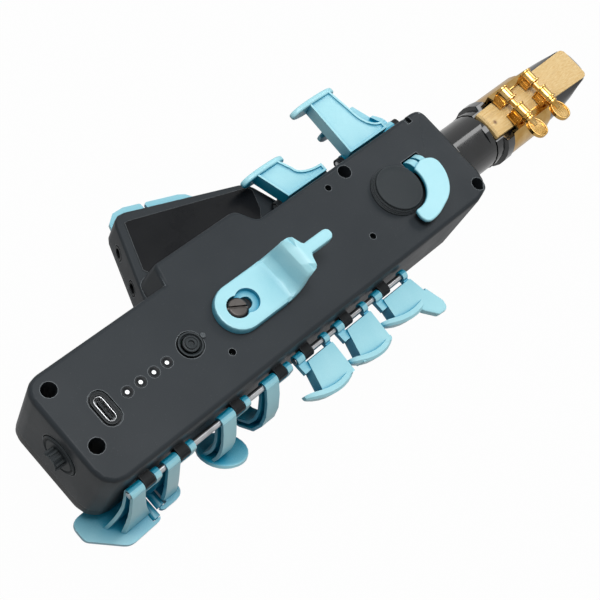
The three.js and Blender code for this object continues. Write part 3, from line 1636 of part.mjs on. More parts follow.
// A curved touch across the end of an arm: an oval plate with a rounded rim, bent round the hand.
// The slant sets one end further out than the other, so that neighbouring ends pass each other.
function touchCap({ x, y, top, width, sag, slant }) {
  const half = width / 2;
  const middle = top - capDepth / 2;
  const loops = capStationShares.map((share) => {
    const tall = capDepth / 2 * Math.sqrt(1 - share * share * capOvalShare);
    const face = y + sag * (1 - share * share) + slant * share;
    const back = face - capThickness * (1 - (share ** 6) * capThinShare);
    const rim = (face - back) / 3;
    return [
      [back, -tall],
      [face - rim, -tall],
      [face, -tall + rim],
      [face, tall - rim],
      [face - rim, tall],
      [back, tall],
    ].map(([across, lift]) => ({ x: x + half * share, y: across, z: middle + lift }));
  });
  return asSolid(loft(loops));
}

// An arm of channel section, open above or below, from a root to a tip that may stand to one side
function channelArm({ rootX, tipX, root, tip, start, length, rise, openUp }) {
  const corners = [
    { x: rootX - root / 2, y: start, radius: leastRadius },
    { x: rootX + root / 2, y: start, radius: leastRadius },
    { x: tipX + tip / 2, y: length, radius: leastRadius },
    { x: tipX - tip / 2, y: length, radius: leastRadius },
  ];
  const bottom = rise - channelDepth;
  const levels = openUp
    ? straight(bottom + channelWall, rise + overrun)
    : straight(bottom - overrun, rise - channelWall);
  return cut(
    slab(corners, straight(bottom, rise), 1),
    slab(insetCorners(corners, channelWall), levels, 1),
  );
}

// Side key. It is drawn pointing along +Y, and turned to the right side where it is placed, so that
// its spans are drawn the other way round.
function sideKey(i) {
  const inner = blockLength / 2 + gap;
  const start = blockRadius + gap * 2;
  const knuckleEnd = inner + sideKnuckleWidth;
  const [rootStart, rootEnd] = sideArmRoots[i];
  const [tipStart, tipEnd] = sideArmTips[i];
  const [capStart, capEnd] = sideCapSpans[i];
  const length = sideArmLengths[i];
  const arm = channelArm({
    rootX: -(rootStart + rootEnd) / 2, tipX: -(tipStart + tipEnd) / 2,
    root: rootEnd - rootStart, tip: tipEnd - tipStart,
    start, length, rise: sideArmRise, openUp: false,
  });
  const cap = touchCap({
    x: -(capStart + capEnd) / 2, y: length - capThickness / 2, top: sideArmRise + capThickness / 3,
    width: capEnd - capStart, sag: sideCapSag, slant: -sideCapSlant,
  });
  let reach = join(arm, cap);
  if (i === sideBlocks.length - 1) {
    const bottom = sideArmRise - capThickness;
    const corners = facingOut(cornersOf(spatulaCorners).map((corner) => ({ ...corner, x: -corner.x })));
    reach = join(reach, slab(corners, roundedTop(bottom, sideArmRise, capThickness / 3)));
  }
  const tilted = moved(reach, new THREE.Matrix4().makeRotationX(-sideArmTiltDegrees * radians));
  const web = block(-rootEnd, knuckleEnd, start, start + channelWall * 2, -lugRadius, 0);
  const lugs = [[inner, knuckleEnd], [-rootEnd, -rootEnd + lugWidth]].map(([x0, x1]) => join(
    barX(lugRadius, x0, x1, 0, 0),
    block(x0, x1, 0, start + channelWall, -lugRadius, 0),
  ));
  const bore = barX(rodRadius + turningFit, -rootEnd - overrun, knuckleEnd + overrun, 0, 0, tinySides);
  return cut(join(tilted, web, ...lugs), bore);
}

// Corners turned anticlockwise, whichever way they were listed
function facingOut(corners) {
  const area = corners.reduce((sum, corner, i) => {
    const next = corners[(i + 1) % corners.length];
    return sum + corner.x * next.y - next.x * corner.y;
  }, 0);
  return area > 0 ? corners : [...corners].reverse();
}

// Palm key: a barrel on the left rod, with an arm that flares over the barrel. Its origin is on the rod.
function palmKey({ barrel, root, tip, cap, capWidth, width, length, rise, openUp }) {
  const origin = (barrel[0] + barrel[1]) / 2;
  const [start, end] = barrel.map((x) => x - origin);
  const rootX = bodyLength - root - origin;
  const tipX = bodyLength - tip - origin;
  const arm = channelArm({
    rootX, tipX, root: width, tip: palmArmTip, start: 0, length, rise, openUp,
  });
  const low = Math.min(rise - channelDepth, 0);
  const high = Math.max(rise, 0);
  const flareY = length / 2;
  const right = THREE.MathUtils.lerp(rootX + width / 2, tipX + palmArmTip / 2, flareY / length);
  const left = rootX - width / 2;
  const flare = slab(
    facingOut([
      { x: left, y: -barrelRadius / 2, radius: leastRadius },
      { x: end, y: -barrelRadius / 2, radius: leastRadius },
      { x: end, y: barrelRadius, radius: leastRadius },
      { x: rootX + width / 2, y: barrelRadius * 2, radius: palmFlareRadius },
      { x: right, y: flareY, radius: leastRadius },
      { x: right - channelWall, y: flareY, radius: leastRadius },
      { x: rootX + width / 2 - channelWall, y: barrelRadius, radius: leastRadius },
      { x: left, y: barrelRadius, radius: leastRadius },
    ]),
    straight(low, high),
  );
  const tube = barX(barrelRadius, start, end, 0, 0);
  const bore = barX(rodRadius + turningFit, start - overrun, end + overrun, 0, 0, tinySides);
  const touch = touchCap({
    x: bodyLength - cap - origin, y: length - capThickness / 2, top: rise, width: capWidth,
    sag: palmCapSag, slant: 0,
  });
  return cut(join(tube, arm, flare, touch), bore);
}

// Front key: a barrel on the front rod, an arm across the body and a round dished touch

function frontKey() {
  const half = frontBarrelLength / 2;
  const reach = frontTouchY - frontRodY;
  const drop = frontTouchDrop - frontRodDrop;
  const tube = barX(frontPostWidth / 2, -half, half, 0, 0);
  const bore = barX(rodRadius + turningFit, -half - overrun, half + overrun, 0, 0, tinySides);
  const arm = slab(
    rectangle(-frontArmWidth / 2, frontArmWidth / 2, reach, 0, frontArmWidth / 3),
    straight(-frontPostWidth / 2, -frontPostWidth / 2 + frontArmThickness),
  );
  const touch = turnedZ([
    [0, -drop],
    [touchRadius * 0.5, -drop - touchDish / 4],
    [touchRadius - touchDish, -drop - touchDish],
    [touchRadius, -drop],
    [touchRadius, -drop + touchThickness / 2],
    [touchRadius * 0.5, -drop + touchThickness],
    [touchRadius * 0.3, -frontPostWidth / 2 + frontArmThickness / 2],
    [0, -frontPostWidth / 2 + frontArmThickness / 2],
  ]);
  touch.translate(0, reach, 0);
  return cut(join(tube, arm, asSolid(touch)), bore);
}

// Left little finger key: a plate under the wing that shows past its outer edge

function wingEdgeY(x) {
  const share = (x - wingTipStart) / (wingTipEnd - wingTipStart);
  return halfWidth + THREE.MathUtils.lerp(wingReachStart, wingReachEnd, share);
}

function tableKey(start, end, startRadius, endRadius) {
  const middle = (start + end) / 2;
  const hinge = halfWidth + tableHingeReach;
  const startY = Math.min(wingEdgeY(start), halfWidth + wingReachStart) + tableOverhang - hinge;
  const endY = wingEdgeY(end) + tableOverhang - hinge;
  const top = -barrelRadius + tablePlateThickness;
  const plate = slab(
    [
      { x: start - middle, y: -barrelRadius / 2, radius: leastRadius },
      { x: end - middle, y: -barrelRadius / 2, radius: leastRadius },
      { x: end - middle, y: endY, radius: endRadius },
      { x: start - middle, y: startY, radius: startRadius },
    ],
    roundedBottom(-barrelRadius, top, tablePlateThickness / 3),
  );
  const half = (end - start) / 2;
  const tube = barX(barrelRadius, -half + tableBarrelInset, half - tableBarrelInset, 0, 0);
  const bore = barX(rodRadius + turningFit, -half - overrun, half + overrun, 0, 0, tinySides);
  return cut(cut(join(plate, tube), ...tablePostCuts(start, end)), bore);
}

// Room for the posts that stand beside a table key's barrel
function tablePostCuts(start, end) {
  const middle = (start + end) / 2;
  const half = tablePostLength / 2 + gap;
  return tablePostPlaces().map((x) => block(
    x - half - middle, x + half - middle, -barrelRadius - gap, barrelRadius + gap,
    -barrelRadius - overrun, barrelRadius + overrun,
  ));
}

// Jack sockets: a nose in the wing's end wall and a square body behind it

function wingEndAngle() {
  const run = wingTipStart - wingRootStart;
  const reach = wingReachStart + wallThickness;
  return Math.atan2(run, reach);
}

function jackPlaces() {
  return jackShares.map((share) => ({
    x: THREE.MathUtils.lerp(wingRootStart, wingTipStart, (share * wingReachStart + wallThickness) / (wingReachStart + wallThickness)),
    y: halfWidth + wingReachStart * share,
    z: -THREE.MathUtils.lerp(wingTopDepth, wingFace, jackDropShare),
  }));
}

function placedOnWing(solid, place) {
  const matrix = new THREE.Matrix4().makeRotationZ(-wingEndAngle());
  matrix.setPosition(place.x, place.y, place.z);
  return moved(solid, matrix);
}

function jackSocket() {
  const nose = barX(jackNose, -seat, wallThickness + overrun, 0, 0);
  const half = jackBodyWidth / 2;
  const start = wallThickness + seat;
  const body = block(start, start + jackBodyLength, -half, half, -half, half);
  const bore = barX(jackBore, -overrun, start + jackBodyLength - overrun * 2, 0, 0);
  return cut(join(nose, body), bore);
}

// Inside the casing

function mainBoard() {
  const plate = block(
    boardStart, boardEnd, -boardHalfWidth, boardHalfWidth, -boardTop - boardThickness, -boardTop,
  );
  const button = block(
    buttonX - switchHalfWidth, buttonX + switchHalfWidth, -switchHalfWidth, switchHalfWidth,
    -boardTop, -boardTop + switchHeight,
  );
  return join(plate, button);
}

function battery() {
  const foot = -shellDepth + seat;
  return slab(
    rectangle(
      batteryStart, batteryStart + batteryLength, -batteryHalfWidth, batteryHalfWidth, edgeRadius,
    ),
    roundedTop(foot, foot + batteryHeight, edgeRadius),
  );
}

function breathSensor() {
  const half = sensorHeight / 2;
  const end = sensorStart + sensorLength;
  const box = block(
    sensorStart, end, -sensorHalfWidth, sensorHalfWidth, -neckDrop - half, -neckDrop + half,
  );
  const barb = barX(hoseBarbRadius, end - overrun, end + hoseBarbLength, 0, -neckDrop, tinySides);
  const bore = barX(hoseBarbBore, end - overrun * 3, end + hoseBarbLength + overrun, 0, -neckDrop, tinySides);
  return cut(join(box, barb), bore);
}

function breathHose() {
  const start = sensorStart + sensorLength + seat;
  const end = bodyLength - neckInside - seat;
  const inner = hoseBarbRadius + seat;
  return asSolid(turnedX([
    [inner, start],
    [inner, end],
    [inner + hoseWall, end],
    [inner + hoseWall, start],
    [inner, start],
  ].reverse(), tinySides));
}

// The assembly

const instrument = new THREE.Group();

function addPiece(name, solid, finish, x = 0, y = 0, z = 0) {
  const mesh = asMesh(name, solid, finish);
  mesh.position.set(x, y, z);
  instrument.add(mesh);
  return mesh;
}

addPiece('back_shell', backShell(), shellFinish());
addPiece('front_cover', frontCover(), blackFinish());
addPiece('wing_cover', wingCover(), blackFinish());
screwPlaces.forEach(({ x, y }, i) => {
  addPiece(`case_screw_${i + 1}`, caseScrew(), darkSteelFinish(), x, y);
});
addPiece('usb_shell', socketShell(), steelFinish());
addPiece('usb_tongue', socketTongue(), blackFinish());
addPiece('light_guide', lightGuide(), lensFinish());
addPiece('button_bezel', buttonBezel(), blackFinish(), buttonX);
addPiece('function_button', functionButton(), blackFinish(), buttonX);
addPiece('thumb_hook', thumbHook(), keyFinish());
addPiece('hook_screw', hookScrew(), darkSteelFinish(), hookScrewX);
addPiece('thumb_rest', thumbRest(), rubberFinish(), restX);
addPiece('octave_key', octaveKey(), keyFinish(), octavePinCentre(), octaveHingeY, -octaveHingeDrop);
addPiece(
  'octave_pin',
  barX(octavePinRadius, octaveSlotStart - gap, octaveSlotStart + octaveSlotLength + gap, 0, 0, tinySides),
  steelFinish(), 0, octaveHingeY, -octaveHingeDrop,
);
addPiece('end_plug', endPlug(), rubberFinish(), 0, plugOffset, -plugDrop);
addPiece('neck_tube', neckTube(), glossBlackFinish(), 0, 0, -neckDrop);
addPiece('neck_sleeve', neckSleeve(), rubberFinish(), 0, 0, -neckDrop);

const mouthpieceGroup = new THREE.Group();
mouthpieceGroup.position.set(mouthpieceStart, 0, -neckDrop);
instrument.add(mouthpieceGroup);
mouthpieceGroup.add(asMesh('mouthpiece', mouthpiece(), glossBlackFinish()));
mouthpieceGroup.add(asMesh('reed', reed(), reedFinish()));
mouthpieceGroup.add(asMesh('ligature_band', ligatureBand(), goldFinish()));
ligatureScrewPlaces().forEach((x, i) => {
  const screw = asMesh(`ligature_screw_${i + 1}`, ligatureScrew(), goldFinish());
  screw.position.set(x - mouthpieceStart, 0, ligatureScrewHeight());
  mouthpieceGroup.add(screw);
});

// Right side: rails, rods and keys
const railSets = rails();
addPiece('lower_hinge_rail', hingeRail(railSets.lower), blackFinish());
addPiece('side_hinge_rail', hingeRail(railSets.side), blackFinish());
addPiece('palm_hinge_rail', hingeRail(railSets.palm), blackFinish());
const lowerRodStart = lowerBlocks[0] - blockLength / 2 - pinkyArmWidth - gap * 2;
const lowerRodEnd = lowerBlocks.at(-1) + blockLength / 2 + lugWidth + gap * 2;
addPiece(
  'lower_rod', barX(rodRadius, lowerRodStart, lowerRodEnd, -hingeY, -hingeDrop, tinySides), steelFinish(),
);
const sideRodStart = sideBlocks[0] - blockLength / 2 - gap * 2 - sideKnuckleWidth;
const sideRodEnd = sideBlocks.at(-1) + sideArmRoots.at(-1)[1] + gap;
addPiece(
  'side_rod',
  barX(
    rodRadius, sideRodStart, sideRodEnd, -hingeY, -hingeDrop, tinySides,
  ),
  steelFinish(),
);
const [largeRollerEdge] = pinkyLargeCorners[2];
const [smallRollerEdge] = pinkySmallCorners[0];
const largeRollerX = largeRollerEdge - rollerRadius + rollerInset;
const smallRollerX = smallRollerEdge + rollerRadius - rollerInset;
const pinkyKeys = [
  {
    name: 'large', path: pinkyLargePath, flare: pinkyLargeFlare, corners: pinkyLargeCorners, drop: pinkyLargeDrop,
    rollerX: largeRollerX, openSide: 1,
  },
  {
    name: 'small', path: pinkySmallPath, flare: pinkySmallFlare, corners: pinkySmallCorners, drop: pinkySmallDrop,
    rollerX: smallRollerX, openSide: -1,
  },
];
pinkyKeys.forEach((sizes, i) => {
  const group = new THREE.Group();
  group.position.set(lowerBlocks[i], -hingeY, -hingeDrop);
  instrument.add(group);
  group.add(asMesh(`pinky_key_${sizes.name}`, pinkyKey(sizes), keyFinish()));
  const wheel = asMesh(`pinky_roller_${sizes.name}`, roller(), keyFinish());
  wheel.position.set(sizes.rollerX, rollerY(sizes.corners), -sizes.drop + pinkyPlateThickness / 2);
  group.add(wheel);
});
addPiece(
  'stack_key_upper', stackKey(stackUpperPath, upperTouch, 1), keyFinish(),
  lowerBlocks[2], -hingeY, -hingeDrop,
);
addPiece(
  'stack_key_lower', stackKey(stackLowerPath, lowerTouch, 0), keyFinish(),
  lowerBlocks[3], -hingeY, -hingeDrop,
);
sideBlocks.forEach((x, i) => {
  const key = addPiece(`side_key_${i + 1}`, sideKey(i), keyFinish(), x, -hingeY, -hingeDrop);
  key.rotation.z = Math.PI;
});

// Left side: palm keys on their two rods
const [lowStart, lowEnd, highStart, highEnd] = palmBlocks();
[['palm_rod_low', lowStart, lowEnd], ['palm_rod_high', highStart, highEnd]].forEach(([name, x0, x1]) => {
  addPiece(
    name,
    barX(
      rodRadius, x0 - palmBlockLength / 2, x1 + palmBlockLength / 2, hingeY, -palmHingeDrop, tinySides,
    ),
    steelFinish(),
  );
});
const palmKeys = [
  ['palm_key_low', {
    barrel: palmLowBarrel, root: palmLowRootInset, tip: palmLowTipInset, cap: palmLowCapInset,
    capWidth: palmLowCapWidth, width: palmLowWidth, length: palmLowLength, rise: palmLowRise, openUp: true,
  }],
  ['palm_key_high', {
    barrel: palmHighBarrel, root: palmHighRootInset, tip: palmHighTipInset, cap: palmHighCapInset,
    capWidth: palmHighCapWidth, width: palmHighWidth, length: palmHighLength, rise: palmHighRise, openUp: true,
  }],
  ['palm_key_mid', {
    barrel: palmMidBarrel, root: palmMidRootInset, tip: palmMidTipInset, cap: palmMidCapInset,
    capWidth: palmMidCapWidth, width: palmMidWidth, length: palmMidLength, rise: palmMidRise, openUp: false,
  }],
];
palmKeys.forEach(([name, sizes]) => {
  const middle = (sizes.barrel[0] + sizes.barrel[1]) / 2;
  addPiece(name, palmKey(sizes), keyFinish(), middle, hingeY, -palmHingeDrop);
});

// Front: the stack rod and its keys
const frontRodZ = -frontFace - frontRodDrop;
const frontPosts = frontPostPlaces();
addPiece(
  'front_rod',
  barX(
    rodRadius, frontPosts[0] - frontPostLength / 2, frontPosts.at(-1) + frontPostLength / 2,
    frontRodY, frontRodZ, tinySides,
  ),
  steelFinish(),
);
frontKeyPlaces.forEach((x, i) => {
  addPiece(`front_key_${i + 1}`, frontKey(), keyFinish(), x, frontRodY, frontRodZ);
});

// Under the wing: the left little finger keys
const tableY = halfWidth + tableHingeReach;
const tableZ = -wingFace - tableHingeDrop;
const tableSecondStart = tableFirstEnd + tableKeyGap;
const tablePosts = tablePostPlaces();
addPiece(
  'table_rod',
  barX(
    rodRadius, tablePosts[0] - tablePostLength / 2, tablePosts.at(-1) + tablePostLength / 2,
    tableY, tableZ, tinySides,
  ),
  steelFinish(),
);
addPiece(
  'table_key_1', tableKey(tableFirstStart, tableFirstEnd, tableOuterRadius, tableInnerRadius), keyFinish(),
  (tableFirstStart + tableFirstEnd) / 2, tableY, tableZ,
);
addPiece(
  'table_key_2', tableKey(tableSecondStart, tableSecondEnd, tableInnerRadius, tableOuterRadius), keyFinish(),
  (tableSecondStart + tableSecondEnd) / 2, tableY, tableZ,
);
jackPlaces().forEach((place, i) => {
  const socket = addPiece(`jack_socket_${i + 1}`, jackSocket(), blackFinish(), place.x, place.y, place.z);
  socket.rotation.z = -wingEndAngle();
});

// Inside
addPiece('main_board', mainBoard(), boardFinish());
addPiece('battery', battery(), batteryFinish());
addPiece('breath_sensor', breathSensor(), blackFinish());
addPiece('breath_hose', breathHose(), rubberFinish(), 0, 0, -neckDrop);

// The origin of the whole is under the middle of its outline, at the lowest point
const part = new THREE.Group();
part.add(instrument);
part.updateMatrixWorld(true);
const outline = new THREE.Box3().setFromObject(instrument);
const middle = outline.getCenter(new THREE.Vector3());
instrument.position.set(-middle.x, -middle.y, -outline.min.z);

export default part;
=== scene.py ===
# %% [markdown]
# # A digital wind controller, dressed in Blender
#
# The real object is a moulded grey box about as long as a forearm, with round keys underneath,
# a saxophone mouthpiece at one end and bright plastic keys along both sides. It is shown
# lying on its front, so the smooth back faces the camera.
#
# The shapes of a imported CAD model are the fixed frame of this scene. Each piece of the
# lesson is either a CAD piece with a careful finish, a softened copy of it, or a new model
# that takes its place. Everything is in metres.

# %% Load the frame and measure it
import json
import math

import bpy
from mathutils import Matrix, Vector

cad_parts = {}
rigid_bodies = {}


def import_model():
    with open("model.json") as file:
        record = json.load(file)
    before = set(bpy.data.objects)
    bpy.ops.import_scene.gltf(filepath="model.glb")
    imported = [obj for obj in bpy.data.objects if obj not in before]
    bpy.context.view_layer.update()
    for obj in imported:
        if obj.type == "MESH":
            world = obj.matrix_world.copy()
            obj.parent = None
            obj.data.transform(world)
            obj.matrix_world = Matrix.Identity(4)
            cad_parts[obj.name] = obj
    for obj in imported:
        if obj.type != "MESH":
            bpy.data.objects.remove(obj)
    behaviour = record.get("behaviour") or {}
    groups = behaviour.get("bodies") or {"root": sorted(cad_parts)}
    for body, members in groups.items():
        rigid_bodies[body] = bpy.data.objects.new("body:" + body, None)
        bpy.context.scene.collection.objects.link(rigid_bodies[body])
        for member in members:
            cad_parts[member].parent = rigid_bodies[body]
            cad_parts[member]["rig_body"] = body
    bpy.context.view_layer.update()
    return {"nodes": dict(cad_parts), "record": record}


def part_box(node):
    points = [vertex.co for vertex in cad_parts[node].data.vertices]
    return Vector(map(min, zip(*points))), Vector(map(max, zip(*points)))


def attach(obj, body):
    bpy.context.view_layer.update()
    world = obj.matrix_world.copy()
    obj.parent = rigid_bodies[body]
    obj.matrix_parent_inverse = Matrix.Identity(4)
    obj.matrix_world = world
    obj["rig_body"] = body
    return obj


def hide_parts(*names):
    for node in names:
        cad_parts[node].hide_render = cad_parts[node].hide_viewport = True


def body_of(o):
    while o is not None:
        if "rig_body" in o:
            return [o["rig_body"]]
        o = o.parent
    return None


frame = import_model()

# %% [markdown]
# ## Places on the instrument
#
# A maker thinks along the casing: so many millimetres from its bottom end, so many across
# from its middle line, so many below its flat back. One function turns such a place into
# a point of the scene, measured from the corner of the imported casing, so nothing is fitted
# by eye.

# %% A place on the casing
MM = 0.001
CASING_LENGTH = 180 * MM
CASING_HALF_WIDTH = 20 * MM
BUTTON_MARK = 0.35 * MM
casing_low, casing_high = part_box("back_shell")
casing_corner = Vector(
    (casing_low.x, casing_low.y + CASING_HALF_WIDTH, casing_high.z - BUTTON_MARK)
)


def at(along, across, up):
    """A point of the scene from millimetres along, across and above the casing's back."""
    return casing_corner + Vector((along, across, up)) * MM


print("middle of the bottom end:", tuple(at(0, 0, 0)))

# %% [markdown]
# ## The camera
#
# The photograph looks down on the back from beyond the bottom end, rolled so that the body
# runs from the lower left to the upper right. A camera is three directions and a place:
# what is right in the picture, what is down in it, and where it looks. A long lens keeps
# the perspective as gentle as in the photograph.

# %% Set the camera
PICTURE_RIGHT = Vector((0.6783, -0.6662, 0.3100))
PICTURE_DOWN = Vector((-0.5210, -0.7336, -0.4364))
PICTURE_AWAY = Vector((0.5181, 0.1345, -0.8447))
CAMERA_PLACE = at(-108.08, -60.38, 319.60)
SENSOR_WIDTH_MM = 36
LENS_MM = 71.73

camera_data = bpy.data.cameras.new("camera")
camera_data.sensor_width = SENSOR_WIDTH_MM
camera_data.lens = LENS_MM
camera_data.clip_start = 0.01
camera_data.clip_end = 20
camera = bpy.data.objects.new("camera", camera_data)
bpy.context.scene.collection.objects.link(camera)
turn = Matrix((PICTURE_RIGHT, -PICTURE_DOWN, -PICTURE_AWAY)).transposed().to_4x4()
camera.matrix_world = Matrix.Translation(CAMERA_PLACE) @ turn
bpy.context.scene.camera = camera
print("camera at", tuple(camera.location))

# %% [markdown]
# ## Maths on sockets
#
# A material is a small calculation for each point of a surface. Written as node links it
# is hard to read, so a socket is wrapped in a class that knows addition, subtraction and
# multiplication. Each sum adds one Math node. Everything that isn't a sum comes from one
# method that takes the node's type, its settings and its inputs.


# %% A socket that can be added and multiplied
class Wire:
    """An output socket; a sum with it adds a Math node to its finish."""

    def __init__(self, finish, socket):
        self.finish = finish
        self.socket = socket

    def sum(self, operation, first, second):
        return self.finish.node("Math", {"operation": operation}, {0: first, 1: second})

    def __add__(self, other):
        return self.sum("ADD", self, other)

    def __radd__(self, other):
        return self.sum("ADD", other, self)

    def __sub__(self, other):
        return self.sum("SUBTRACT", self, other)

    def __rsub__(self, other):
        return self.sum("SUBTRACT", other, self)

    def __mul__(self, other):
        return self.sum("MULTIPLY", self, other)

    def __rmul__(self, other):
        return self.sum("MULTIPLY", other, self)


# %% Colours as painters write them
def paint(code):
    """A colour code such as 5fc0cf as the linear red, green, blue and alpha of a shader."""
    shares = [int(code[i : i + 2], 16) / 255 for i in (0, 2, 4)]
    linear = [s / 12.92 if s <= 0.04045 else ((s + 0.055) / 1.055) ** 2.4 for s in shares]
    return (*linear, 1)


# %% A finish and its nodes
# Where a Mix node keeps its two colours among its inputs, and the result among its outputs
MIX_FIRST, MIX_SECOND, MIX_COLOUR = 6, 7, 2


class Finish:
    """A material, its Principled shader, and the object coordinates of its pieces."""

    def __init__(self, name):
        self.material = bpy.data.materials.new(name)
        self.material.use_nodes = True
        self.tree = self.material.node_tree
        self.shader = self.tree.nodes["Principled BSDF"]
        self.place = self.node("TexCoord", out="Object")

    def node(self, kind, settings=None, values=None, out=0):
        made = self.tree.nodes.new("ShaderNode" + kind)
        for name, value in (settings or {}).items():
            if name == "stops":
                for stop, (where, colour) in zip(made.color_ramp.elements, value):
                    stop.position = where
                    stop.color = colour
            else:
                setattr(made, name, value)
        for name, value in (values or {}).items():
            self.join(made.inputs[name], value)
        return Wire(self, made.outputs[out])

    def join(self, socket, value):
        if isinstance(value, Wire):
            self.tree.links.new(value.socket, socket)
        else:
            socket.default_value = value

    def set(self, **values):
        """Values or wires for the shader's sockets, with _ for the spaces in their names."""
        for name, value in values.items():
            self.join(self.shader.inputs[name.replace("_", " ")], value)

    def noise(self, size, detail=2.0, stretch=(1, 1, 1), distortion=0.0):
        """Soft noise from 0 to 1 whose spots are about this size, in metres."""
        where = self.node("Mapping", {}, {"Vector": self.place, "Scale": stretch})
        return self.node(
            "TexNoise",
            {"noise_dimensions": "3D"},
            {"Vector": where, "Scale": 1 / size, "Detail": detail, "Distortion": distortion},
        )

    def span(self, value, low, high, to_low=0.0, to_high=1.0):
        """A value moved from one span to another and kept inside it."""
        return self.node(
            "MapRange",
            {"clamp": True},
            {
                "Value": value, "From Min": low, "From Max": high,
                "To Min": to_low, "To Max": to_high,
            },
        )

    def mix(self, share, first, second):
        """A colour that is first where share is 0 and second where it is 1."""
        values = {0: share, MIX_FIRST: first, MIX_SECOND: second}
        return self.node("Mix", {"data_type": "RGBA"}, values, out=MIX_COLOUR)

    def bump(self, height, depth):
        """Raises the surface by height times depth, in metres."""
        return self.node("Bump", {}, {"Strength": 1.0, "Distance": depth, "Height": height})


class Surround(Finish):
    """The same node methods for a world, whose shader is its background."""

    def __init__(self, world):
        self.tree = world.node_tree
        self.shader = self.tree.nodes["Background"]


print("socket maths ready")

# %% [markdown]
# ## The moulded casing
#
# The casing is injection-moulded ABS with a fine satin grain: dark grey on the back,
# blacker on the covers. Three things keep it from looking like paint. The tool's grain is
# a very fine noise that only bends the light. Handling polishes it in soft patches, which is
# a slow noise in the roughness. Every edge is painted lighter as a painted highlight, and made a
# little glossier: where a rounded normal and the true normal disagree there is an edge. Its colour
# drifts by a hair over the whole length, and narrow hollows get painted shade, darker where little
# light would come back out of them.


# %% Grained plastic
# The sixth and seventh arguments are the colour and the share of a painted highlight on every
# edge.
def grained_plastic(name, dark, light, rough, grain, rubbed, edge_highlight_share=0.55):
    finish = Finish(name)
    drift = finish.noise(35 * MM, 3)
    fine = finish.noise(0.16 * MM, 2)
    handled = finish.span(finish.noise(14 * MM, 3), 0.35, 0.7)
    specks = finish.span(finish.noise(0.45 * MM, 1), 0.7, 0.8)
    colour = finish.mix(finish.span(drift, 0.3, 0.7), paint(dark), paint(light))
    dusty = finish.mix(specks * 0.08, colour, paint("8a8e90"))
    # Painted highlight: where a rounded normal and the true normal disagree, the colour is painted
    # towards a lighter one; the edge is also glossier.
    round_normal = finish.node("Bevel", {"samples": 4}, {"Radius": 0.45 * MM}, out="Normal")
    true_normal = finish.node("NewGeometry", out="Normal")
    agreement = finish.node(
        "VectorMath", {"operation": "DOT_PRODUCT"}, {0: round_normal, 1: true_normal}, out="Value"
    )
    edge = finish.span(agreement, 0.99, 0.9) * edge_highlight_share
    # Painted shade: narrow hollows are painted nearly black.
    painted_hollow_shade = finish.node("AmbientOcclusion", {"samples": 6}, {"Distance": 3 * MM}, out="AO")
    colour_with_painted_shade = finish.mix(finish.span(painted_hollow_shade, 0.15, 0.7), paint("0b0d0e"), dusty)
    finish.set(
        Base_Color=finish.mix(edge, colour_with_painted_shade, paint(rubbed)),
        Roughness=rough - handled * 0.08 + fine * 0.06 - edge * 0.12,
        Specular_IOR_Level=0.16,
        Normal=finish.bump(fine, grain),
    )
    return finish.material


# The last colour of each is its painted edge highlight, and the last number how much of it is
# painted.
casing_grey = grained_plastic("casing_grey", "292e32", "303539", 0.44, 0.012 * MM, "8e9599", 0.7)
cover_black = grained_plastic("cover_black", "131618", "191c1f", 0.42, 0.010 * MM, "5c6266", 0.5)
wing_grey = grained_plastic("wing_grey", "181c1f", "1e2225", 0.44, 0.012 * MM, "8e9599", 0.6)
# A blacker copy of the rubber, used as painted shade on the walls of turned pieces.
shaded_wall_black = grained_plastic("shaded_wall_black", "101214", "15181a", 0.40, 0.010 * MM, "7d8387", 0.5)
rest_black = grained_plastic("rest_black", "2a2f32", "303639", 0.46, 0.012 * MM, "8d9498", 0.12)
print("grained plastics:", casing_grey.name, wing_grey.name, cover_black.name)
print("grained rubbers:", shaded_wall_black.name, rest_black.name)

# %% [markdown]
# ## The turquoise keys
#
# The keys are moulded in coloured nylon that is smooth but not glassy. Thin edges look
# lighter where light passes through, and the moulding leaves faint cloudy streaks of
# pigment along the flow. Near other surfaces, in nooks and under the casing, the colour is
# painted a deeper teal as painted shade. A thin clear coat gives the soft highlight of a polished
# tool.


# %% Turquoise key plastic
def turquoise_plastic():
    finish = Finish("turquoise_plastic")
    cloud = finish.noise(9 * MM, 3, stretch=(1, 1, 0.5), distortion=0.6)
    fine = finish.noise(0.35 * MM, 2)
    rubbed = finish.span(finish.noise(6 * MM, 2), 0.4, 0.7)
    colour = finish.mix(finish.span(cloud, 0.3, 0.7), paint("a2dae5"), paint("abdfe9"))
    # Painted shade: within 20 mm of other surfaces the colour is painted towards deep teal.
    painted_nook_shade = finish.node("AmbientOcclusion", {"samples": 8}, {"Distance": 20 * MM}, out="AO")
    finish.set(
        Base_Color=finish.mix(finish.span(painted_nook_shade, 0.4, 0.95), paint("0a92b4"), colour),
        Roughness=0.36 + fine * 0.05 - rubbed * 0.05,
        Specular_IOR_Level=0.35,
        Coat_Weight=0.12,
        Coat_Roughness=0.22,
        Normal=finish.bump(fine, 0.004 * MM),
    )
    return finish.material


key_turquoise = turquoise_plastic()

# %% [markdown]
# ## Polished black, soft black and bare metal
#
# The mouthpiece and the neck are polished ebonite: almost black, with a bright coat and
# hair-fine polishing marks round the bore. The gold ligature is lacquered brass, drawn and
# buffed along its length. Steel pins are turned, so their marks run round them.


# %% Polished ebonite
def polished_ebonite():
    finish = Finish("polished_ebonite")
    marks = finish.noise(0.25 * MM, 2, stretch=(0.15, 1, 1))
    smear = finish.span(finish.noise(10 * MM, 3), 0.45, 0.75)
    finish.set(
        Base_Color=finish.mix(smear, paint("0b0d0f"), paint("14171a")),
        Roughness=0.12 + smear * 0.10 + marks * 0.03,
        Coat_Weight=0.6,
        Coat_Roughness=0.06,
        Normal=finish.bump(marks, 0.002 * MM),
    )
    return finish.material


